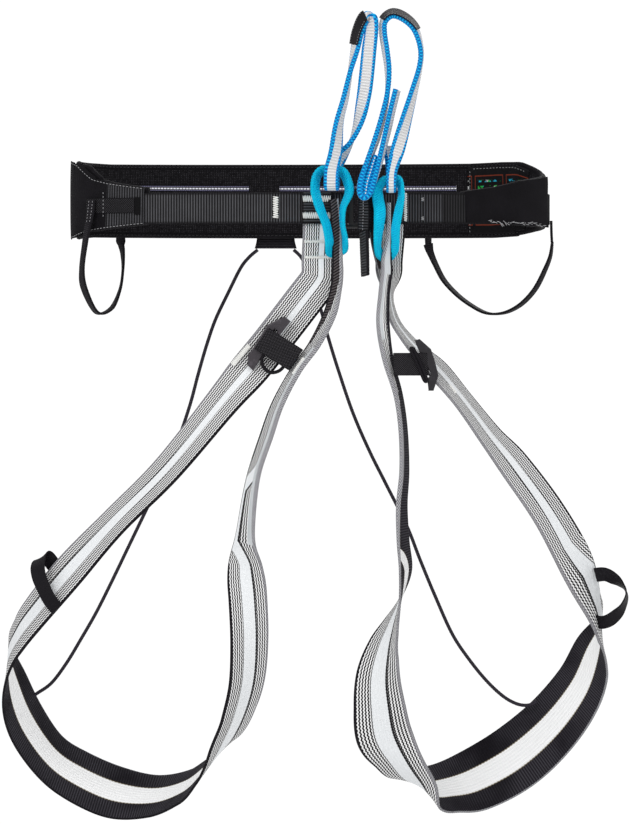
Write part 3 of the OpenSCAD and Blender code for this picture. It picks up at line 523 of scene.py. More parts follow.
class Shade:
    """One procedural material. Its short calls add nodes and return their outputs."""

    def __init__(self, name, roughness, metallic=0.0, coat=0.0, specular=0.12):
        self.material = bpy.data.materials.new(name)
        self.material.use_nodes = True
        self.tree = self.material.node_tree
        self.shader = self.tree.nodes["Principled BSDF"]
        fixed = {"Roughness": roughness, "Metallic": metallic, "Coat Weight": coat,
                 "Specular IOR Level": specular}
        for socket, value in fixed.items():
            self.shader.inputs[socket].default_value = value
        strap = self.tree.nodes.new("ShaderNodeUVMap")
        strap.uv_map = "Strap"
        self.u, self.v = self.first_two(strap.outputs["UV"])
        self.place = self.tree.nodes.new("ShaderNodeTexCoord").outputs["Object"]

    def first_two(self, vector):
        """X and Y of a vector socket."""
        split = self.tree.nodes.new("ShaderNodeSeparateXYZ")
        self.tree.links.new(vector, split.inputs[0])
        return Signal(self, split.outputs["X"]), Signal(self, split.outputs["Y"])

    def feed(self, socket, value):
        if isinstance(value, Signal):
            self.tree.links.new(value.socket, socket)
        else:
            socket.default_value = value

    def calc(self, operation, *values):
        node = self.tree.nodes.new("ShaderNodeMath")
        node.operation = operation
        for socket, value in zip(node.inputs, values):
            self.feed(socket, value)
        return Signal(self, node.outputs[0])

    def wave(self, along, pitch, shift=0.0):
        """0 to 1 and back once in each pitch."""
        return self.calc("SINE", along * (2 * math.pi / pitch) + shift) * 0.5 + 0.5

    def above(self, value, edge, soft=0.02):
        node = self.tree.nodes.new("ShaderNodeMapRange")
        node.interpolation_type = "SMOOTHSTEP"
        for i, number in enumerate((value, edge - soft, edge + soft, 0.0, 1.0)):
            self.feed(node.inputs[i], number)
        return Signal(self, node.outputs[0])

    def within(self, value, low, high, soft=0.02):
        return self.above(value, low, soft) * (1.0 - self.above(value, high, soft))

    def mix(self, part, a, b):
        node = self.tree.nodes.new("ShaderNodeMix")
        node.data_type = "RGBA"
        for socket, value in ((node.inputs[0], part), (node.inputs[6], a), (node.inputs[7], b)):
            self.feed(socket, colour(value) if isinstance(value, str) else value)
        return Signal(self, node.outputs[2])

    def noise(self, scale, detail=3.0):
        node = self.tree.nodes.new("ShaderNodeTexNoise")
        self.tree.links.new(self.place, node.inputs["Vector"])
        node.inputs["Scale"].default_value = scale
        node.inputs["Detail"].default_value = detail
        return Signal(self, node.outputs["Fac"])

    def finish(self, base, height=None, depth=0.0003, roughness=None):
        self.feed(self.shader.inputs["Base Color"], base)
        if roughness is not None:
            self.feed(self.shader.inputs["Roughness"], roughness)
        if height is not None:
            bump = self.tree.nodes.new("ShaderNodeBump")
            bump.inputs["Distance"].default_value = depth
            self.feed(bump.inputs["Height"], height)
            self.tree.links.new(bump.outputs["Normal"], self.shader.inputs["Normal"])
        return self.material


def fibres(s, v_pitch, u_pitch):
    """Height of a plain weave: threads along and across that pass over each other."""
    return s.wave(s.v, v_pitch) * s.wave(s.u, u_pitch)


def laminate(name, code, light, cell=0.0011, width=0.06):
    """Matt woven laminate; width is the piece's width, which makes u a length."""
    s = Shade(name, 0.72)
    weave = fibres(s, cell, cell / width)
    wear_and_highlight_fade = s.above(s.noise(38), 0.56, 0.16) * 0.35
    base = s.mix(weave * 0.4 + wear_and_highlight_fade, code, light)
    return s.finish(base, weave + s.noise(240) * 0.6, 0.00025)


def spacer_mesh():
    """Inner face of the belt: fine open mesh with bright specks in rows."""
    s = Shade("spacer_mesh", 0.78)
    pit, width = 0.00145, 0.06
    rows = s.wave(s.v, pit)
    weave = rows * s.wave(s.u, pit / width)
    specks = s.above(weave, 0.62, 0.25) * s.above(s.noise(420, 2), 0.5, 0.15)
    binding = s.above(s.u, 0.955, 0.012) + (1.0 - s.above(s.u, 0.045, 0.012))
    cloth = s.mix(specks * 0.75, s.mix(rows * 0.55, "#0b090c", "#19171b"), "#565459")
    base = s.mix(binding, cloth, "#0d0b0f")
    return s.finish(base, weave, 0.0005)


def ribbed(name, dark, light, pitch=0.0022, width=0.025, depth=0.0003, fade_from=None):
    """Webbing whose ribs run across it, with a painted highlight on the rib crests; beyond fade_from
    (metres to the right) the painted highlight is weakened.
    """
    s = Shade(name, 0.62)
    # The crests are painted lighter than the black cloth: a painted highlight on each rib
    crest = s.wave(s.v, pitch) ** 1.6
    threads = s.wave(s.u, 0.0009 / width)
    edge = s.above(abs(s.u - 0.5), 0.455, 0.02)
    crest = crest * (1.0 - edge * 0.7)
    # Painted highlight on the crests, weakened to the right of fade_from
    if fade_from is not None:
        wear_and_highlight_fade = s.above(s.first_two(s.place)[0], fade_from, 0.01)
        crest = crest * (1.0 - wear_and_highlight_fade * 0.75)
    mottle = s.noise(90) * 0.5 + threads * 0.35
    base = s.mix(crest * (mottle + 0.25), dark, light)
    return s.finish(base, crest + threads * 0.25, depth)


def leg_outer():
    """Patterned face: white middle, a bold and a fine line beside it, and wavy thin lines."""
    s = Shade("leg_outer", 0.7)
    side = s.u * 2.0 - 1.0
    rim = abs(side)
    # The sewn end by the belt is gathered, which narrows its middle stripe
    gather = 1.0 + (1.0 - s.above(s.v, 0.09, 0.05)) * 0.35
    gather = gather + (1.0 - s.above(s.v, 0.27, 0.11)) * 0.75
    c = rim * gather
    right = s.above(side, 0.0, 0.01)
    sway = (s.wave(s.v, 0.0031) - 0.5) * 0.034
    drift = (s.noise(14, 1) - 0.5) * 0.05
    across = rim + sway + drift
    lines = s.wave(across, 0.128, -1.1)
    picks = s.wave(s.v, 0.00105)
    thin = s.above(lines + picks * 0.2, 0.56, 0.14)
    bold_end = 0.405 + right * -0.04
    wavy_c = c + sway * 0.45
    bold = s.above(wavy_c, 0.325, 0.012) * (1.0 - s.above(wavy_c - bold_end, 0.0, 0.014))
    band = s.above(wavy_c, 0.34, 0.01)
    middle = s.mix(s.wave(s.v, 0.0014) * 0.22, "#f3f5f7", "#d5dade")
    middle = s.mix(s.wave(s.u, 0.062) * 0.12, middle, "#c9d0d5")
    striped = s.mix(thin, s.mix(picks * 0.15, "#ffffff", "#b4b6b9"), "#060407")
    base = s.mix(band, middle, striped)
    base = s.mix(bold, base, "#100d12")
    black_edge = s.above(rim, 0.96, 0.012) * right
    pale_edge = s.above(rim, 0.93, 0.02) * (1.0 - right)
    base = s.mix(black_edge, base, "#1d1a20")
    base = s.mix(pale_edge * 0.75, base, "#8d8b92")
    relief = picks * 0.4 + lines * band * 0.6
    return s.finish(base, relief, 0.0004)


def leg_inner():
    """Plain face: black with cross ribs and a white middle stripe that has cream borders."""
    s = Shade("leg_inner", 0.72)
    c = abs(s.u * 2.0 - 1.0)
    jitter = (s.wave(s.v, 0.0028) - 0.5) * 0.012
    c = c + jitter
    ribs = s.wave(s.v, 0.0021)
    lit = ribs * s.above(s.noise(24, 2), 0.42, 0.2) * 0.34
    black = s.mix(lit, "#120f15", "#64626a")
    cords = s.wave(s.u, 0.052)
    white = s.mix((cords * 0.6 + ribs * 0.4) * 0.22, "#ffffff", "#ccd1d6")
    base = s.mix(s.above(c, 0.37, 0.012), white, black)
    base = s.mix(s.within(c, 0.355, 0.385, 0.01) * 0.7, base, "#7d6f4e")
    stripe = 1.0 - s.above(c, 0.37, 0.012)
    relief = s.mix(stripe, ribs, cords)
    return s.finish(base, relief, 0.0003)


def herringbone(name, dark, light, share):
    """Twill whose two halves slope towards each other; share is how much of it is light."""
    s = Shade(name, 0.7)
    fold = abs(s.u - 0.5)
    slope = s.v + fold * 0.009
    twill = s.wave(slope, 0.0024)
    threads = s.wave(s.v, 0.0009)
    level = twill * 0.75 + s.noise(500, 2) * 0.5
    base = s.mix(s.above(level, 0.62, 0.22) * share, dark, light)
    return s.finish(base, twill + threads * 0.3, 0.0004)


def sling_face():
    """White tape face with cross ribs and a dotted blue border."""
    s = Shade("sling_face", 0.66)
    ribs = s.wave(s.v, 0.0023)
    edge = abs(s.u * 2.0 - 1.0)
    # Grey between the ribs is painted shade in the rib gaps
    white = s.mix((1.0 - ribs) * 0.55, "#ececec", "#a9a9ab")
    white = s.mix(s.noise(60) * 0.16, white, "#c8c8ca")
    dots = s.above(edge, 0.86, 0.02) * s.above(s.wave(s.v, 0.0023, 1.0), 0.3, 0.2)
    base = s.mix(dots, white, "#0f8fd8")
    return s.finish(base, ribs, 0.00045)


def braid(name, dark, mid, bright, pitch=0.0026):
    """Braided edge: small slanting picks in three tones."""
    s = Shade(name, 0.55)
    one = s.wave(s.v + s.u * pitch, pitch)
    two = s.wave(s.v + s.u * -pitch, pitch, 1.4)
    picks = (one + 0.15) * (two + 0.15)
    base = s.mix(s.above(picks, 0.2, 0.14), dark, mid)
    base = s.mix(s.above(picks, 0.62, 0.2), base, bright)
    base = s.mix(s.noise(130) * 0.25, base, mid)
    return s.finish(base, picks, 0.0005)


def cyan_tape():
    """Tubular tape of the connector loops: close slanting ribs with a painted sheen, a brighter cyan
    on the rib crests.
    """
    s = Shade("cyan_tape", 0.5)
    ribs = s.wave(s.v + s.u * 0.0035, 0.0019)
    threads = s.wave(s.u, 0.075)
    # Rib crests painted brighter cyan: painted sheen
    base = s.mix(ribs * 0.85, "#00b6f6", "#10f2ff")
    base = s.mix(s.above(s.noise(110), 0.6, 0.1) * 0.25, base, "#00b0ec")
    return s.finish(base, ribs + threads * 0.35, 0.0005)


def cord_braid():
    """Elastic riser: dark braid of crossing strands round the cord."""
    s = Shade("cord_braid", 0.6)
    one = s.wave(s.v + s.u * 0.004, 0.001)
    two = s.wave(s.v + s.u * -0.004, 0.001)
    picks = s.calc("MAXIMUM", one, two)
    base = s.mix(s.above(picks, 0.75, 0.25), "#1b181e", "#3a363f")
    return s.finish(base, picks, 0.0002)


def knit_band(name, code, light, width):
    """Close diamond knit of the hook bands and of the wing's patch."""
    s = Shade(name, 0.66)
    cell = 0.0017
    one = s.wave(s.v + s.u * width, cell)
    two = s.wave(s.v + s.u * -width, cell)
    dots = one * two
    base = s.mix(s.above(dots, 0.45, 0.25) * 0.9, code, light)
    return s.finish(base, dots, 0.0006)


def thread(name, code, shade_code):
    s = Shade(name, 0.55)
    ply = s.wave(s.v, 0.0006)
    base = s.mix(s.noise(300) * 0.5, code, shade_code)
    return s.finish(base, ply, 0.0001)


def satin(name, code, light):
    s = Shade(name, 0.42)
    weft = s.wave(s.v, 0.0007)
    base = s.mix(weft * 0.25 + s.noise(70) * 0.3, code, light)
    return s.finish(base, weft, 0.00015)


def coated_metal(name, code, worn_code, roughness):
    """Coloured alloy with fine grain and brighter wear."""
    s = Shade(name, roughness, metallic=0.3, coat=0.1, specular=0.4)
    grain = s.noise(900, 4)
    wear = s.above(s.noise(150, 6), 0.6, 0.08)
    base = s.mix(wear * 0.4, s.mix(grain * 0.3, code, worn_code), worn_code)
    rough = grain * 0.18 + (roughness - 0.08)
    return s.finish(base, grain, 0.00006, rough)


def warning_label():
    """Care label: two framed boxes with plain coloured bars and no lettering."""
    s = Shade("care_label", 0.45)
    cell = s.calc("FRACT", (s.v + 0.006) * (1 / 0.027))
    edge = s.calc("MAXIMUM", abs(cell * 2.0 - 1.0), abs(s.u * 2.4 - 1.2))
    frame_line = s.within(edge, 0.87, 0.905, 0.012)
    bars = s.above(s.wave(s.u, 0.13), 0.4, 0.1)
    ends = s.above(s.noise(300, 1), 0.5, 0.03)
    inside = 1.0 - s.above(edge, 0.72, 0.04)
    marks = bars * ends * inside
    tint = s.mix(s.above(s.noise(110, 0), 0.5, 0.04), "#d9d9d9", "#27a844")
    tint = s.mix(s.above(s.noise(150, 0), 0.58, 0.04), tint, "#27b7d8")
    weft = s.wave(s.v, 0.0006)
    base = s.mix(frame_line, s.mix(weft * 0.2, "#08070a", "#19171b"), "#7f3420")
    return s.finish(s.mix(marks, base, tint), weft, 0.00012)


def reflective():
    """Woven tape with a beaded bright line between two thin lavender ones."""
    s = Shade("reflective_stripe", 0.4)
    beads = s.above(s.wave(s.v, 0.0026), 0.25, 0.25)
    bright = s.within(s.u, 0.36, 0.62, 0.05) * (beads * 0.75 + 0.25)
    thin = s.within(s.u, 0.8, 0.93, 0.03) + s.within(s.u, 0.08, 0.2, 0.03)
    dotted = thin * (s.wave(s.v, 0.0017) * 0.5 + 0.3)
    base = s.mix(dotted, "#15131b", "#8f8cb0")
    base = s.mix(bright, base, "#f2f2fb")
    return s.finish(base, bright + dotted, 0.0003)


LAMINATE = laminate("belt_laminate", "#0b090d", "#1b191e")
BINDING = laminate("belt_binding", "#0c0a0e", "#232026", cell=0.0009, width=0.005)
SPACER = spacer_mesh()
WEBBING = ribbed("black_webbing", "#0a090b", "#5c5c60")
WAIST_WEBBING = ribbed("waist_webbing", "#0a090b", "#66666a", fade_from=0.07)
WEBBING_EDGE = laminate("webbing_edge", "#0d0b0f", "#27252a", cell=0.0012, width=0.003)
SOFT_WEBBING = ribbed("soft_black_webbing", "#0e0c10", "#343137", pitch=0.0019, depth=0.0002)
LEG_OUTER = leg_outer()
LEG_INNER = leg_inner()
PALE_EDGE = herringbone("pale_edge", "#5f5d63", "#cfcfd3", 0.9)
DARK_EDGE = herringbone("dark_edge", "#0e0b10", "#2a272d", 0.7)
DARK_TWILL = herringbone("dark_twill", "#151213", "#5d5759", 0.8)
SLING_FACE = sling_face()
SLING_EDGE = braid("sling_edge", "#034a96", "#0592dc", "#1cc4fa")
CYAN = cyan_tape()
CORD = cord_braid()
GEAR = ribbed("gear_webbing", "#100e12", "#2f2c32", pitch=0.0016, width=0.008, depth=0.0002)
KNIT = knit_band("hook_knit", "#0a080b", "#5e5c61", 0.02)
PATCH = knit_band("patch_knit", "#0b0a0c", "#4d4b50", 0.01)
THREAD = thread("white_thread", "#f1f1ee", "#c2c2be")
GREY_THREAD = thread("grey_thread", "#a9a9ab", "#6d6d70")
DARK_THREAD = thread("dark_thread", "#3a3a3c", "#29292b")
SLEEVE = satin("sleeve_satin", "#0d0b0f", "#232026")
TAG = satin("orange_tag", "#d6582a", "#b23f18")
LABEL = warning_label()
STRIPE = reflective()
BUCKLE = coated_metal("buckle_metal", "#0c0b0d", "#29282c", 0.4)
HOOK = coated_metal("hook_metal", "#332f34", "#5b565c", 0.42)
DARK_HOOK = coated_metal("dark_hook_metal", "#1c1a1e", "#3d3a40", 0.42)
ELASTIC = ribbed("covered_elastic", "#0d0b0f", "#2b282e", pitch=0.0012, width=0.005, depth=0.0002)
DARK = laminate("slot_shadow", "#070608", "#0d0c0f", cell=0.001, width=0.01)
GREY_STRIP = laminate("grey_strip", "#c3c7ca", "#e4e7e9", cell=0.0012, width=0.009)
CLOTH = [WEBBING, WEBBING, WEBBING_EDGE, WEBBING_EDGE]
FRONT_CLOTH = [WAIST_WEBBING, WAIST_WEBBING, WEBBING_EDGE, WEBBING_EDGE]

# ---------------------------------------------------------------- helpers for detail


def ribs(pitch, high):
    """Relief of ribs that run across, pitch apart and high proud (metres)."""
    return lambda s, run: high * (0.5 + 0.5 * np.sin(2 * math.pi * run / pitch)) + 0 * s


def cushioned(high):
    """Relief of a padded band: full in the middle and drawn in at the bound edges."""
    return lambda s, run: (high * (1 - np.abs(np.clip(s, -1, 1)) ** 4)
                           + 0.00035 * np.sin(run * 61) * np.cos(3 * s))


def thickened(rows, thick, low_thick, low_z):
    """The same route with another thickness, thinner below low_z."""
    return [(*row[:4], thick if row[2] > low_z else low_thick, *row[5:]) for row in rows]


def lifted(rows, out, wider, thick):
    """Rows moved out from a ribbon's outer face."""
    fine = smooth(rows, 2)
    outward = lay(fine)[2]
    fine[:, :3] += outward * out
    fine[:, 3] += wider
    fine[:, 4] = thick
    return fine


def face_line(rows, start, end, s, out):
    """Points (mm) along a ribbon's outer face, from one share of its length to another."""
    fine = smooth(rows, 0.5)
    _, across, outward, _ = lay(fine)
    points = fine[:, :3] + across * (s * fine[:, 3:4] / 2) + outward * (fine[:, 4:5] / 2 + out)
    return points[int(start * (len(points) - 1)):int(end * (len(points) - 1)) + 1]


def dashes(points, dash, gap):
    """Pairs of points for the stitches of a seam along a line."""
    points = np.asarray(points, float)
    run = run_so_far(points)
    starts = np.arange(gap / 2, run[-1] - dash, dash + gap)

    def at(length):
        return np.stack([np.interp(length, run, points[:, i]) for i in range(3)], axis=-1)

    return np.stack([at(starts), at(starts + dash)], axis=1)


def sew(name, lines, radius, look, body="waist_belt", slot="white_thread"):
    """Seams on a body, each line given as its points (mm), the stitch length and the gap."""
    pairs = np.concatenate([dashes(*line) for line in lines])
    put(stitches(name, pairs, radius, look), body, slot)


def bar_tack(name, middle, length_way, stroke_way, length, stroke, pitch=0.9, radius=0.42,
             look=THREAD):
    """Dense zigzag of thread: strokes side by side along length_way (mm)."""
    middle, length_way, stroke_way = (np.asarray(v, float) for v in (middle, length_way, stroke_way))
    length_way, stroke_way = unit(length_way), unit(stroke_way)
    pairs = []
    for i, along in enumerate(np.arange(-length / 2, length / 2, pitch)):
        reach = stroke / 2 * rng.uniform(0.86, 1.08)
        slant = pitch * (0.3 if i % 2 else -0.3)
        centre = middle + length_way * along
        pairs.append((centre - stroke_way * reach - length_way * slant,
                      centre + stroke_way * reach + length_way * slant))
    return stitches(name, pairs, radius, look)


# ---------------------------------------------------------------- risers


def risers():
    """Elastic cords from the belt's rear tab to the backs of the leg loops."""
    strands = [("left_riser", LEFT_RISER, "left_leg"), ("right_riser", RIGHT_RISER, "right_leg")]
    for name, route, leg in strands:
        weave = lambda turn, run: 0.00007 * np.sin(6 * turn + run * 2600)
        cord = tube(name, route, RISER_D / 2, CORD, sides=14, spacing=0.8, relief=weave)
        path = smooth(route, 0.8) * MM
        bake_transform(cord)
        stand_for(cord, "elastic_cord", name)


# ---------------------------------------------------------------- waist belt


def waist_belt():
    """Padded panel, its wings, the webbing and what is sewn flat on them."""
    panel_rows = belt_band(-50, 226, -4.1, PANEL_BOTTOM, PANEL_TOP, 4.2)
    panel = ribbon("back_panel", panel_rows, [LAMINATE, SPACER, BINDING, BINDING],
                   spacing=1.6, columns=18, relief=cushioned(0.0006))
    put(panel, "waist_belt", "belt_laminate", "back_panel")

    # The wing's smooth cover, then its ribbed tongue that runs on under the webbing
    seam_angle = front_angle(-161)
    smooth_rows = belt_band(178, seam_angle, 2.1, PANEL_BOTTOM, PANEL_TOP, 1.0)
    ribbed_rows = belt_band(seam_angle - 0.5, 226, 1.9, PANEL_BOTTOM, PANEL_TOP, 0.9)
    wing = ribbon("wing_cover", smooth_rows, [LAMINATE, LAMINATE, BINDING, BINDING], spacing=1.5,
                  columns=14, relief=cushioned(0.0004))
    put(wing, "waist_belt", "belt_laminate", "wing_cover")
    tongue = ribbon("wing_tongue", ribbed_rows, CLOTH, spacing=0.45, relief=ribs(0.0022, 0.0003))
    put(tongue, "waist_belt", "black_webbing")
    right_rows = belt_band(-50, -9, 1.7, PANEL_BOTTOM, PANEL_TOP, 0.8)
    right_wing = ribbon("right_wing_cover", right_rows, [LAMINATE, LAMINATE, BINDING, BINDING],
                        spacing=1.5, columns=14, relief=cushioned(0.0004))
    put(right_wing, "waist_belt", "belt_laminate")

    patch_rows = belt_band(202, 223, 3.4, WEBBING_Z - 3.5, WEBBING_Z + 8.5, 1.0)
    patch = ribbon("wing_patch", patch_rows, [PATCH, PATCH, WEBBING_EDGE, WEBBING_EDGE],
                   spacing=0.8, columns=8, relief=ribs(0.0017, 0.0002))
    put(patch, "waist_belt", "mesh_patch", "wing_patch")
    # The slot is a near-black strip: painted shadow inside the wing's slot
    slot = ribbon("wing_slot", belt_band(223.2, 225.2, 3.2, WEBBING_Z - 5, WEBBING_Z + 9, 0.9),
                  [DARK] * 4, columns=6, oval=0.4)
    put(slot, "waist_belt", "belt_laminate")

    low, high = WEBBING_Z - WEBBING_W / 2, WEBBING_Z + WEBBING_W / 2
    webbing = ribbon("waist_webbing", belt_band(-74, 278, 0.3, low, high, 1.7, step=4), FRONT_CLOTH,
                     spacing=0.45, columns=8, relief=ribs(0.0022, 0.00032))
    put(webbing, "waist_belt", "black_webbing", "waist_webbing")

    doubled = ribbon("doubled_webbing", belt_band(292, 303, 2.7, low, high, 1.7), CLOTH,
                     spacing=0.45, columns=8, relief=ribs(0.0022, 0.00028))
    put(doubled, "waist_belt", "black_webbing", "doubled_webbing")

    stripes = [ribbon("stripe", belt_band(start, end, -7.7, 8.5, 13.5, 0.7),
                      [STRIPE, STRIPE, BINDING, BINDING], spacing=0.9, columns=10)
               for start, end in ((50, 98), (106, 158))]
    put(joined("reflective_tape", stripes), "waist_belt", "reflective_tape", "reflective_tape")

    inset = [[angle, z + 3] for angle, z in PANEL_BOTTOM], [[angle, z - 3] for angle, z in PANEL_TOP]
    label = ribbon("waist_label", belt_band(18, 46, -7.6, inset[0], inset[1], 0.6),
                   [LABEL, LABEL, SLEEVE, SLEEVE], spacing=1.2, columns=12)
    put(label, "waist_belt", "satin_label", "waist_label")

    tag = ribbon("size_tag", belt_band(166, 170, -7.6, 23, 28, 0.8), [TAG] * 4, columns=6)
    put(tag, "waist_belt", "orange_tag", "size_tag")


def belt_seams():
    """Stitching of the wing, the panel's bound edges and the label."""
    angles = np.linspace(186, 226, 70)
    top = [belt_point(a, 3.1, lookup(a, PANEL_TOP) - 1.2) for a in angles]
    bottom = [belt_point(a, 3.1, lookup(a, PANEL_BOTTOM) + 1.2) for a in angles]
    upright = [belt_point(front_angle(-162), 4.1, z) for z in np.linspace(-14, 9, 20)]
    sew("wing_seams", [(top, 1.9, 1.1), (bottom, 1.9, 1.1), (upright, 1.5, 1.5)], 0.24, GREY_THREAD)

    rim = []
    angles = np.linspace(24, 176, 240)
    for out in (-7.35, -1.1):
        for table, inset in ((PANEL_TOP, -2.4), (PANEL_BOTTOM, 2.4)):
            line = [belt_point(a, out, lookup(a, table) + inset) for a in angles]
            rim.append((line, 2.2, 1.0))
    sew("panel_seams", rim, 0.22, DARK_THREAD, slot="belt_laminate")

    edge = [belt_point(a, -8.3, lookup(a, PANEL_TOP) - 4.6) for a in np.linspace(19, 45, 60)]
    side = [belt_point(45.2, -8.3, z) for z in np.linspace(-25, 27, 30)]
    sew("label_seams", [(edge, 1.6, 1.2), (side, 1.6, 1.2)], 0.22, GREY_THREAD)


def frayed_edge():
    """Loose grey threads along the lower edge of the right front wing."""
    pairs = []
    for x in np.arange(139, 182, 1.3):
        angle = front_angle(x) - 360
        low = lookup(angle, PANEL_BOTTOM)
        sag = 2.6 * math.exp(-((x - 149) / 5) ** 2)
        start = np.array(belt_point(angle, 2.7, low + 1.2 + rng.uniform(-0.6, 1.6)))
        pairs.append((start, start + (rng.uniform(1, 3.4), -0.3, rng.uniform(-1, 0.9) - sag)))
    put(stitches("frayed_edge", pairs, 0.24, GREY_THREAD), "waist_belt", "white_thread")


def belt_front():
    """Folded tab over the left strap, bar tacks and marks on the front webbing."""
    rows = [(5, y, z, 25, 1.6, 1, 0, 0) for y, z in ((-66.6, 5.5), (-67, -7), (-66.6, -18.5))]
    fold = ribbon("anchor_fold", rows, CLOTH, spacing=0.5, columns=8, relief=ribs(0.0021, 0.0002))
    put(fold, "waist_belt", "black_webbing")
    tacks = [bar_tack("tack", (5, -68.2, z), (1, 0, 0), (0, 0, 1), 22, 5.2, pitch=0.85)
             for z in (0.3, -12.9)]
    tacks.append(bar_tack("tack", (-28, -66.9, WEBBING_Z + 1), (0, 0, 1), (1, 0, 0), 17, 4.6))
    tacks.append(bar_tack("tack", (75, -65.3, WEBBING_Z + 1), (0, 0, 1), (1, 0, 0), 22, 2.8))
    put(joined("waist_bar_tacks", tacks), "waist_belt", "white_thread", "waist_bar_tacks")

    marks = [bar_tack("mark", (*belt_point(front_angle(86.5), 4.6, z)[:2], z), (0, 0, 1),
                      (0.94, 0.33, 0), 2.2, 2.4, pitch=0.7, radius=0.3, look=GREY_THREAD)
             for z in (0.0, -15.0)]
    put(joined("strap_marks", marks), "waist_belt", "white_thread")

    bands = [bar_tack("band", (8.5, -63.6, z), (1, 0, 0), (0, 0, 1), 27, 2.6, pitch=0.62, radius=0.34)
             for z in (-33.5, -46)]
    put(joined("anchor_bar_tacks", bands), "waist_belt", "white_thread", "anchor_bar_tacks")


def buckle():
    """Rounded frame, the slider in front of it, and the webbing end that hangs below."""
    middle_x, frame_w, frame_h, corner = 40, 26.6, 28.6, 3.0
    path = []
    for i in range(24):
        turn = math.radians(i * 15 + 7.5)
        x = math.copysign(frame_w / 2 - corner, math.cos(turn)) + corner * math.cos(turn)
        z = math.copysign(frame_h / 2 - corner, math.sin(turn)) + corner * math.sin(turn)
        path.append((middle_x + x, -66, WEBBING_Z + z))
    ring = tube("buckle_frame", path, 1.7, BUCKLE, sides=14, spacing=1.0, closed=True)
    put(ring, "waist_belt", "buckle_metal", "buckle_frame")
    outline = rectangle(middle_x, WEBBING_Z, 20, 28, 0)
    holes = [rectangle(middle_x + side * 4.5, WEBBING_Z, 4, 23.8, 0) for side in (-1, 1)]
    slider = plate("buckle_slider", outline, holes, -69.2, 2.4, 0.5, BUCKLE)
    put(slider, "buckle_slider_plate", "buckle_metal", "buckle_slider")

    tail_rows = route(22, 2, [(42, -72.5, -26, 0.25, -0.95, 0), (42.5, -74, -42, 0.25, -0.95, 0),
                              (43, -75, -61, 0.25, -0.95, 0, 20)])
    tail = ribbon("webbing_tail", tail_rows, CLOTH, spacing=0.5, relief=ribs(0.0022, 0.00025))
    put(tail, "webbing_tail_end", "black_webbing", "webbing_tail")
    root_rows = route(10, 1.8, [(44, -72, 1, 0.95, -0.3, 0, 9), (44, -74, -10, 0.95, -0.3, 0),
                                (43.5, -73.5, -25, 0.95, -0.3, 0)])
    layers = []
    for shift in (-2.1, 0.0):
        rows = [(x + shift * 0.9, y + shift, z, *rest) for x, y, z, *rest in root_rows]
        layers.append(ribbon("layer", rows, CLOTH, spacing=0.5, relief=ribs(0.0022, 0.0002)))
    put(joined("tail_layers", layers), "waist_belt", "black_webbing")
    fold_rows = route(6.5, 2.4, [
        (49.5, -70.6, 1, 0.97, -0.25, 0), (49.5, -71.5, -14, 0.97, -0.25, 0),
        (50, -71.5, -30, 0.97, -0.2, 0.1), (52.5, -70.5, -44, 0.95, 0, 0.3, 6),
        (55, -68, -55, 0.9, 0, 0.4, 5, 2.2),
    ])
    fold = ribbon("tail_fold", fold_rows, [DARK_TWILL, DARK_TWILL, PALE_EDGE, DARK_EDGE],
                  spacing=0.5, relief=ribs(0.0021, 0.0002))
    put(fold, "waist_belt", "black_webbing")
    line = [(x - 2.6, y - 3.6, z) for x, y, z, *rest in root_rows]
    sew("tail_seam", [(line, 1.5, 0.9)], 0.25, GREY_THREAD)


def rectangle(x, z, wide, high, angle):
    """Corners of a rectangle in x and z, turned about the y axis."""
    c, s = math.cos(math.radians(angle)), math.sin(math.radians(angle))
    corners = [(-wide / 2, -high / 2), (wide / 2, -high / 2), (wide / 2, high / 2),
               (-wide / 2, high / 2)]
    return [(x + a * c + b * s, z - a * s + b * c) for a, b in corners]


def riser_tab():
    """Tab under the back panel, wider at its lower end, where the risers start."""
    levels = [(-11, 30, 2.0), (-24, 30, 2.0), (-31, 31, 2.0), (-37, 34, 2.2)]
    rows = [(-28.5, 67.2, z, wide, thick, -1, 0, 0) for z, wide, thick in levels]
    tab = ribbon("riser_tab", rows, [SOFT_WEBBING, SOFT_WEBBING, WEBBING_EDGE, WEBBING_EDGE],
                 spacing=0.6, columns=12, relief=ribs(0.0019, 0.0002))
    put(tab, "waist_belt", "black_webbing", "riser_tab")


# ---------------------------------------------------------------- loops on the belt


def gear_loops():
    """Narrow webbing loops at the sides and the short ends that hold them to the belt."""
    look = [GEAR, GEAR, WEBBING_EDGE, WEBBING_EDGE]
    relief = ribs(0.0016, 0.00012)
    anchors = {
        "left_gear_anchor": [
            [(-174.8, -31.5, 0, 8, 1.9, 0.8, -0.6, 0), (-175.6, -32.6, -8, 8, 1.9, 0.8, -0.6, 0),
             (-176.9, -33.2, -18.5, 7.4, 1.9, 0.7, -0.7, 0)],
            [(-153, 39.2, -22, 8, 1.9, 0.91, 0.41, 0), (-153, 39.4, -29, 8, 1.9, 0.91, 0.41, 0),
             (-152.9, 40.4, -34.5, 7.4, 1.9, 0.7, -0.7, 0)]],
        "right_gear_anchor": [
            [(192, -4, -16, 8, 1.9, 0, 1, 0), (192.2, -4, -25, 8, 1.9, 0, 1, 0),
             (192.6, -4, -33.5, 7.4, 1.9, 0, 1, 0)],
            [(94.4, 57, -22, 8, 1.9, 0.6, 0.8, 0), (94.4, 57.3, -28, 8, 1.9, 0.6, 0.8, 0),
             (94.5, 58, -34, 7.4, 1.9, 0.6, 0.8, 0)]],
    }
    for name, ends in anchors.items():
        pair = [ribbon(name + "_end", rows, look, spacing=0.6, relief=relief) for rows in ends]
        put(joined(name, pair), "waist_belt", "gear_webbing", name)
    for name, rows, body in (("left_gear_loop", LEFT_GEAR, "left_gear"),
                             ("right_gear_loop", RIGHT_GEAR, "right_gear")):
        put(ribbon(name, rows, look, spacing=0.5, relief=relief), body, "gear_webbing", name)
    front_end = anchors["left_gear_anchor"][0]
    lines = [(face_line(front_end, 0.05, 0.95, s, 0.1), 1.3, 1.3) for s in (0.45, -0.45)]
    sew("gear_seams", lines, 0.22, GREY_THREAD)


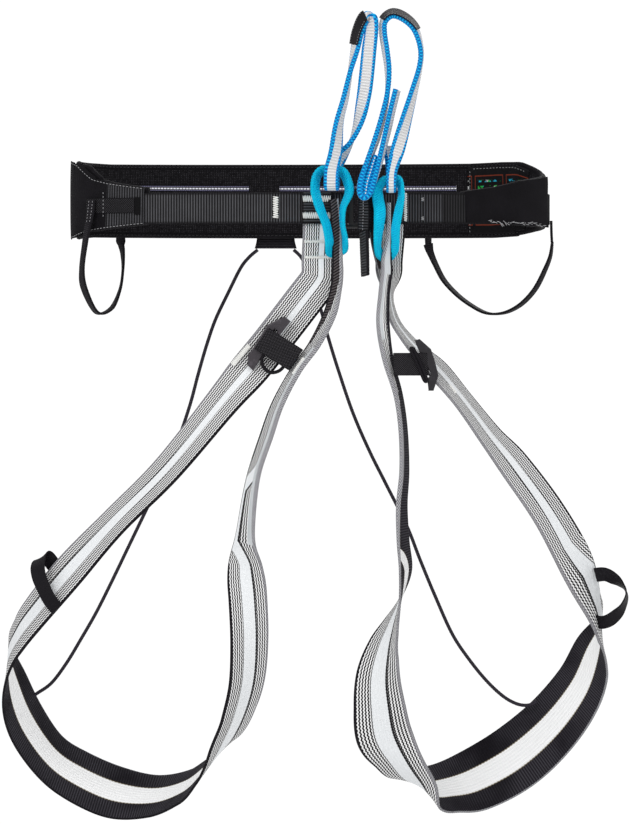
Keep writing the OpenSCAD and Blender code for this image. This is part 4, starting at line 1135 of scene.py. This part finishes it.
def connector_loops():
    """Closed cyan tapes that hold the slings and the tops of the leg straps."""
    for name, rows in (("left_connector_loop", LEFT_CONNECTOR),
                       ("right_connector_loop", RIGHT_CONNECTOR)):
        tape = ribbon(name, thickened(rows, 2.6, 2.4, -36), [CYAN] * 4, spacing=0.5, closed=True,
                      columns=12, oval=0.55, relief=ribs(0.0021, 0.0005))
        put(tape, "waist_belt", "connector_webbing", name)


SLING_LOOK = [SLING_FACE, SLING_FACE, SLING_EDGE, SLING_EDGE]


def sling_paint(outer, s, rows):
    """The braided edges turn onto the face where the tape is gathered at its lower end."""
    border = np.interp(rows[:, 2:3], [14, 30, 62], [0.74, 0.74, 1.1])
    return np.where(np.abs(s) > border, 2, -1)


def full_fold(rows):
    """The right sling's tail is doubled where it turns at the bottom, so it is thicker there."""
    return [(*row[:4], 5.0 if row[0] < 51 and row[2] < 20 else row[4], *row[5:]) for row in rows]


def row_point(route, place):
    """Point at a place counted in rows along a route, such as 9.5."""
    rows = np.array(route, float)[:, :3]
    low = int(place)
    return rows[low] + (rows[low + 1] - rows[low]) * (place - low)


def slings():
    """The two tie-in loops with their label sleeves, and the right one's doubled tail."""
    relief = ribs(0.0023, 0.00028)
    left = ribbon("left_sling", thickened(LEFT_SLING, 3.7, 2.6, 32), SLING_LOOK, spacing=0.55,
                  closed=True, columns=14, relief=relief, paint=sling_paint)
    put(left, "left_tie_in", "sling_webbing", "left_sling")
    right_rows = full_fold(thickened(RIGHT_SLING, 3.7, 2.6, 20))
    right = ribbon("right_sling", right_rows, SLING_LOOK, spacing=0.55, columns=14,
                   relief=relief, paint=sling_paint)
    put(right, "right_tie_in", "sling_webbing", "right_sling")
    middle = [(43, -90.3, 3, 9, 5, 0, 1, 0), (44.5, -90.3, 13, 9, 6, 0, 1, 0),
              (48.5, -90, 26, 9, 5, 0, 1, 0), (51, -89, 34, 9, 3, 0, 1, 0)]
    core = ribbon("sling_fold", middle, [SLING_EDGE] * 4, spacing=0.55)
    put(core, "right_tie_in", "sling_webbing")
    line = [(x, y - 5, z) for x, y, z, *rest in middle]
    sew("fold_seam", [(line, 1.5, 0.9)], 0.42, THREAD, "right_tie_in")
    sleeves = (("left_sling_label", LEFT_SLING, (9.3, 11.3), True, "left_tie_in"),
               ("right_sling_label", RIGHT_SLING, (16, 19), False, "right_tie_in"))
    for name, route, span, closed, body in sleeves:
        fine = smooth(route, 1.2, closed)
        ends = [int(np.argmin(np.linalg.norm(fine[:, :3] - row_point(route, end), axis=1)))
                for end in span]
        rows = fine[ends[0]:ends[1] + 1]
        rows = lifted(rows, 2.5, 0.8, 0.8)
        put(ribbon(name, rows, [SLEEVE] * 4, columns=8), body, "satin_label", name)
        lines = [(face_line(rows, 0.04, 0.96, s, 0.08), 1.2, 1.0) for s in (-0.8, 0.8)]
        sew(name + "_seam", lines, 0.18, GREY_THREAD, body)


# ---------------------------------------------------------------- leg loops


def folded(rows):
    """How far each row of a leg strap is folded lengthways, from 0 to 1."""
    return np.clip((rows[:, 4] - LEG_T) / 0.8, 0, 1)


def left_spans(rows):
    """The folded strap shows one half of its pattern below the twist and the other above."""
    fold, upper = folded(rows), np.clip((rows[:, 2] + 232) / 25, 0, 1)
    return np.stack([fold * upper * 0.66, 1 - fold * (1 - upper) * 0.6], axis=-1)


def left_paint(outer, s, rows):
    """Dark twill on the folded part, on the side that faces forward, and a grey border that is the
    white middle stripe in painted shade.
    """
    fold, z = folded(rows)[:, None] > 0.9, rows[:, 2:3]
    dark_from = np.interp(z, [-130, -85, -60], [1.0, -0.2, -1.1])
    chosen = np.full((len(rows), s.shape[1]), -1 if outer else 0)
    # Light grey where the white middle stripe lies in shade: painted shade
    chosen = np.where((s < -0.45) & (z < -118), 5, chosen)
    chosen = np.where((s > dark_from) & (z > -130), 4, chosen)
    return np.where(fold, chosen, -1)


def right_spans(rows):
    """The folded strap shows two thirds of its pattern."""
    fold = folded(rows)
    # Beside the label tab the strap's rear border is turned under
    turned = np.interp(rows[:, 2], [-345, -325, -300, -275], [0, 1, 1, 0]) * (rows[:, 0] > 180)
    return np.stack([fold * 0.69, 1 - 0.33 * turned], axis=-1)


def right_paint(outer, s, rows):
    """Pale stripe and grey border on the folded part, on the side that faces forward."""
    fold, z = folded(rows)[:, None] > 0.9, rows[:, 2:3]
    light_to = np.interp(z, [-168, -112], [-1.1, 0.6])
    chosen = np.where(s < light_to, np.where((z > -112) & (s < -0.3), 5, 0), -1)
    chosen = np.where(z > -60, 5, chosen)
    return np.where(fold & (not outer), chosen, -1)


LEG_LOOK = [LEG_OUTER, LEG_INNER, PALE_EDGE, DARK_EDGE, DARK_TWILL, GREY_STRIP]


def leg_strap(side, anchor, leg, inner_anchor, spans, paint):
    """One length of webbing: down from the belt, round the thigh and up to the belt again."""
    rows = [*anchor, *leg, *reversed(inner_anchor)]
    weave = lambda s, run: 0.00005 * np.sin(2 * math.pi * run / 0.0021) + 0 * s
    strap = ribbon(f"{side}_leg_strap", rows, LEG_LOOK, spacing=0.75, columns=14, relief=weave,
                   spans=spans, paint=paint)
    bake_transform(strap)
    stand_for(strap, "leg_webbing", f"{side}_leg_strap", f"{side}_strap_anchor",
              f"{side}_inner_anchor")


LEFT_TAB = route(12, 1.2, [
    (-201.5, -51.5, -325.5, 0.6, -0.36, 0.72), (-207.5, -50, -318.5, 0.7, -0.33, 0.6),
    (-212.2, -48, -309.5, 0.82, -0.3, 0.48), (-216.2, -46, -300, 0.9, -0.2, 0.38),
    (-217.4, -43, -291.5, 0.93, -0.1, 0.35), (-215.4, -36.5, -285.5, 0.86, 0, 0.5),
    (-210.5, -31, -284.5, 0.75, 0.1, 0.62), (-206.5, -30, -289, 0.66, 0, 0.75),
    (-201.5, -33.5, -296, 0.62, -0.2, 0.75), (-198.5, -39, -303, 0.6, -0.36, 0.72),
])
RIGHT_TAB = route(12, 1.2, [
    (227, -20, -298.8, 0, 0.4, -0.92), (234.5, -24, -298.3, 0, 0.4, -0.92),
    (241.5, -25, -301.8, -0.23, 0.64, -0.73), (247.5, -24, -306.8, -0.21, 0.94, -0.25),
    (250.9, -23, -311.5, 0, 1, 0), (251.3, -22, -317, 0.25, 0.95, 0),
    (249, -21, -323.5, 0.43, 0.89, -0.14), (244.5, -20, -329.7, 0.56, 0.66, -0.5),
    (238.5, -19, -334.7, 0.43, 0.5, -0.74), (232.5, -17, -336.7, 0.1, 0.5, -0.86),
    (227, -14, -336, -0.1, 0.5, -0.86),
])


def label_tabs():
    """Bands of plain satin tape sewn round the rear edge of each leg strap."""
    look = [SLEEVE, SLEEVE, WEBBING_EDGE, WEBBING_EDGE]
    for side, rows in (("left", LEFT_TAB), ("right", RIGHT_TAB)):
        name = side + "_label_tab"
        put(ribbon(name, rows, look, spacing=0.7), side + "_leg", "gear_webbing", name)


def leg_tacks():
    """Bar tacks beside the release hooks."""
    left = [bar_tack("tack", (-55.5, -71.5, -123.5), (0.66, 0, 0.75), (0.75, 0, -0.66), 20, 4.6,
                     pitch=0.7),
            bar_tack("tack", (-9.5, -77.5, -132.5), (0.55, 0, 0.83), (0.83, 0, -0.55), 15, 4,
                     pitch=0.7)]
    put(joined("left_leg_bar_tacks", left), "left_leg", "white_thread", "left_leg_bar_tacks")
    right = bar_tack("right_leg_bar_tacks", (112, -88, -150), (-0.62, 0, 0.79), (0.79, 0, 0.62),
                     8, 1.8)
    put(right, "right_leg", "white_thread", "right_leg_bar_tacks")


# ---------------------------------------------------------------- release hooks

LEFT_HOOK = [(-35, -100), (-21, -93), (-16, -97), (-24, -107), (-32, -119), (-40, -127),
             (-46, -136), (-50, -132), (-50, -124), (-44, -115)]
RIGHT_HOOK = [(82, -112), (86, -111), (95, -119), (98, -128), (101, -140), (97, -152),
              (93, -152), (92, -142), (95, -140), (91, -123), (86, -122)]


def loop_rows(points, width, thick, across):
    return [(*point, width, thick, *across) for point in points]


def hooks():
    """Each release hook with the knitted band that it hangs in and its elastic ring."""
    left = plate("left_hook", LEFT_HOOK, [rectangle(-33, -111, 3, 18, 38)], -71.7, 3.4, 0.9, HOOK)
    put(left, "left_release_hook", "hook_metal", "left_hook")
    right = plate("right_hook", RIGHT_HOOK, [rectangle(93, -131, 2, 10, -15)], -83.7, 3.4, 0.7,
                  DARK_HOOK)
    put(right, "right_release_hook", "hook_metal", "right_hook")

    look = [KNIT, KNIT, WEBBING_EDGE, WEBBING_EDGE]
    relief = ribs(0.0017, 0.0002)
    front = [(-38, -76.6, -111), (-32, -77.6, -115), (-24, -78.8, -120), (-17, -79.3, -124.5),
             (-13, -78.2, -127), (-12.6, -76.8, -127.2), (-16, -76.4, -125), (-24, -76.2, -120),
             (-32, -75.2, -115), (-38, -74.8, -111)]
    band = ribbon("left_hook_band", loop_rows(front, 20, 1.1, (0.58, 0, 0.81)), look,
                  spacing=0.6, closed=True, columns=14, relief=relief)
    put(band, "left_release_hook", "mesh_patch", "left_hook_band")
    right_front = [(67, -85, -131), (78, -85.6, -131), (88, -86, -131), (92, -85, -131),
                   (92, -83.2, -131), (88, -82.6, -131), (78, -83.2, -131), (67, -83.6, -131)]
    band = ribbon("right_hook_band", loop_rows(right_front, 18, 1.0, (0, 0, 1)), look,
                  spacing=0.6, closed=True, columns=12, relief=relief)
    put(band, "right_release_hook", "mesh_patch", "right_hook_band")

    left_ring = [(-39, -74, -128), (-37, -74, -134), (-31.5, -74, -137.5), (-25, -74.4, -136),
                 (-21, -74.6, -131), (-22.5, -74.6, -125), (-30, -74.2, -121), (-36.5, -74, -123)]
    ring = ribbon("left_hook_ring", loop_rows(left_ring, 3.6, 2.8, (0, 1, 0)), [ELASTIC] * 4,
                  spacing=0.5, closed=True, oval=0.5)
    put(ring, "left_release_hook", "elastic_band", "left_hook_ring")
    right_ring = [(79, -87.5, -119), (82, -87.6, -126), (86, -87.6, -135), (89.5, -87.4, -143.5),
                  (91.5, -87, -144.5), (91, -87.4, -141), (87.5, -87.8, -132), (83, -87.8, -122.5),
                  (80.5, -87.6, -118.5)]
    ring = ribbon("right_hook_ring", loop_rows(right_ring, 2.6, 2.7, (0, 1, 0)), [ELASTIC] * 4,
                  spacing=0.5, closed=True, oval=0.5)
    put(ring, "right_release_hook", "elastic_band", "right_hook_ring")


# ---------------------------------------------------------------- studio


def studio():
    """Camera at the front, pale floor, white surroundings and large soft lights."""
    lens = bpy.data.cameras.new("camera")
    lens.lens, lens.sensor_width = 437.0, 36.0
    camera = bpy.data.objects.new("camera", lens)
    camera.location = (0.0028, -8.0, -0.1688)
    camera.rotation_euler = (math.pi / 2, 0, 0)
    bpy.context.scene.collection.objects.link(camera)
    bpy.context.scene.camera = camera
    bpy.context.scene.view_settings.view_transform = "Standard"

    pale = Shade("pale_floor", 0.8)
    pale.finish(pale.mix(pale.noise(3) * 0.3, "#f4f4f4", "#ebebeb"))
    half, floor_z = 3.0, -0.75
    mesh = bpy.data.meshes.new("floor")
    mesh.from_pydata([(-half, -half, floor_z), (half, -half, floor_z), (half, half, floor_z),
                      (-half, half, floor_z)], [], [(0, 1, 2, 3)])
    mesh.materials.append(pale.material)
    floor = bpy.data.objects.new("floor", mesh)
    bpy.context.scene.collection.objects.link(floor)

    world = bpy.data.worlds.new("surroundings")
    bpy.context.scene.world = world
    world.use_nodes = True
    nodes, links = world.node_tree.nodes, world.node_tree.links
    seen = nodes.new("ShaderNodeLightPath")
    strength = nodes.new("ShaderNodeMapRange")
    strength.inputs["To Min"].default_value = 0.62
    strength.inputs["To Max"].default_value = 1.05
    links.new(seen.outputs["Is Camera Ray"], strength.inputs["Value"])
    links.new(strength.outputs[0], nodes["Background"].inputs["Strength"])
    nodes["Background"].inputs["Color"].default_value = (1, 1, 1, 1)

    for name, spot, power, size in (("key", (-1.6, -2.6, 1.6), 44, 1.6),
                                    ("fill", (2.0, -2.4, 0.4), 20, 2.0),
                                    ("rim", (0.6, 2.4, 1.8), 28, 1.6)):
        light = bpy.data.lights.new(name, "AREA")
        light.energy, light.size = power, size
        lamp = bpy.data.objects.new(name, light)
        lamp.location = spot
        lamp.rotation_euler = (-Vector(spot)).to_track_quat("-Z", "Y").to_euler()
        bpy.context.scene.collection.objects.link(lamp)


studio()
risers()
waist_belt()
belt_seams()
frayed_edge()
belt_front()
buckle()
riser_tab()
gear_loops()
connector_loops()
slings()
leg_strap("left", LEFT_ANCHOR, LEFT_LEG, LEFT_INNER_ANCHOR, left_spans, left_paint)
leg_strap("right", RIGHT_ANCHOR, RIGHT_LEG, RIGHT_INNER_ANCHOR, right_spans, right_paint)
label_tabs()
leg_tacks()
hooks()
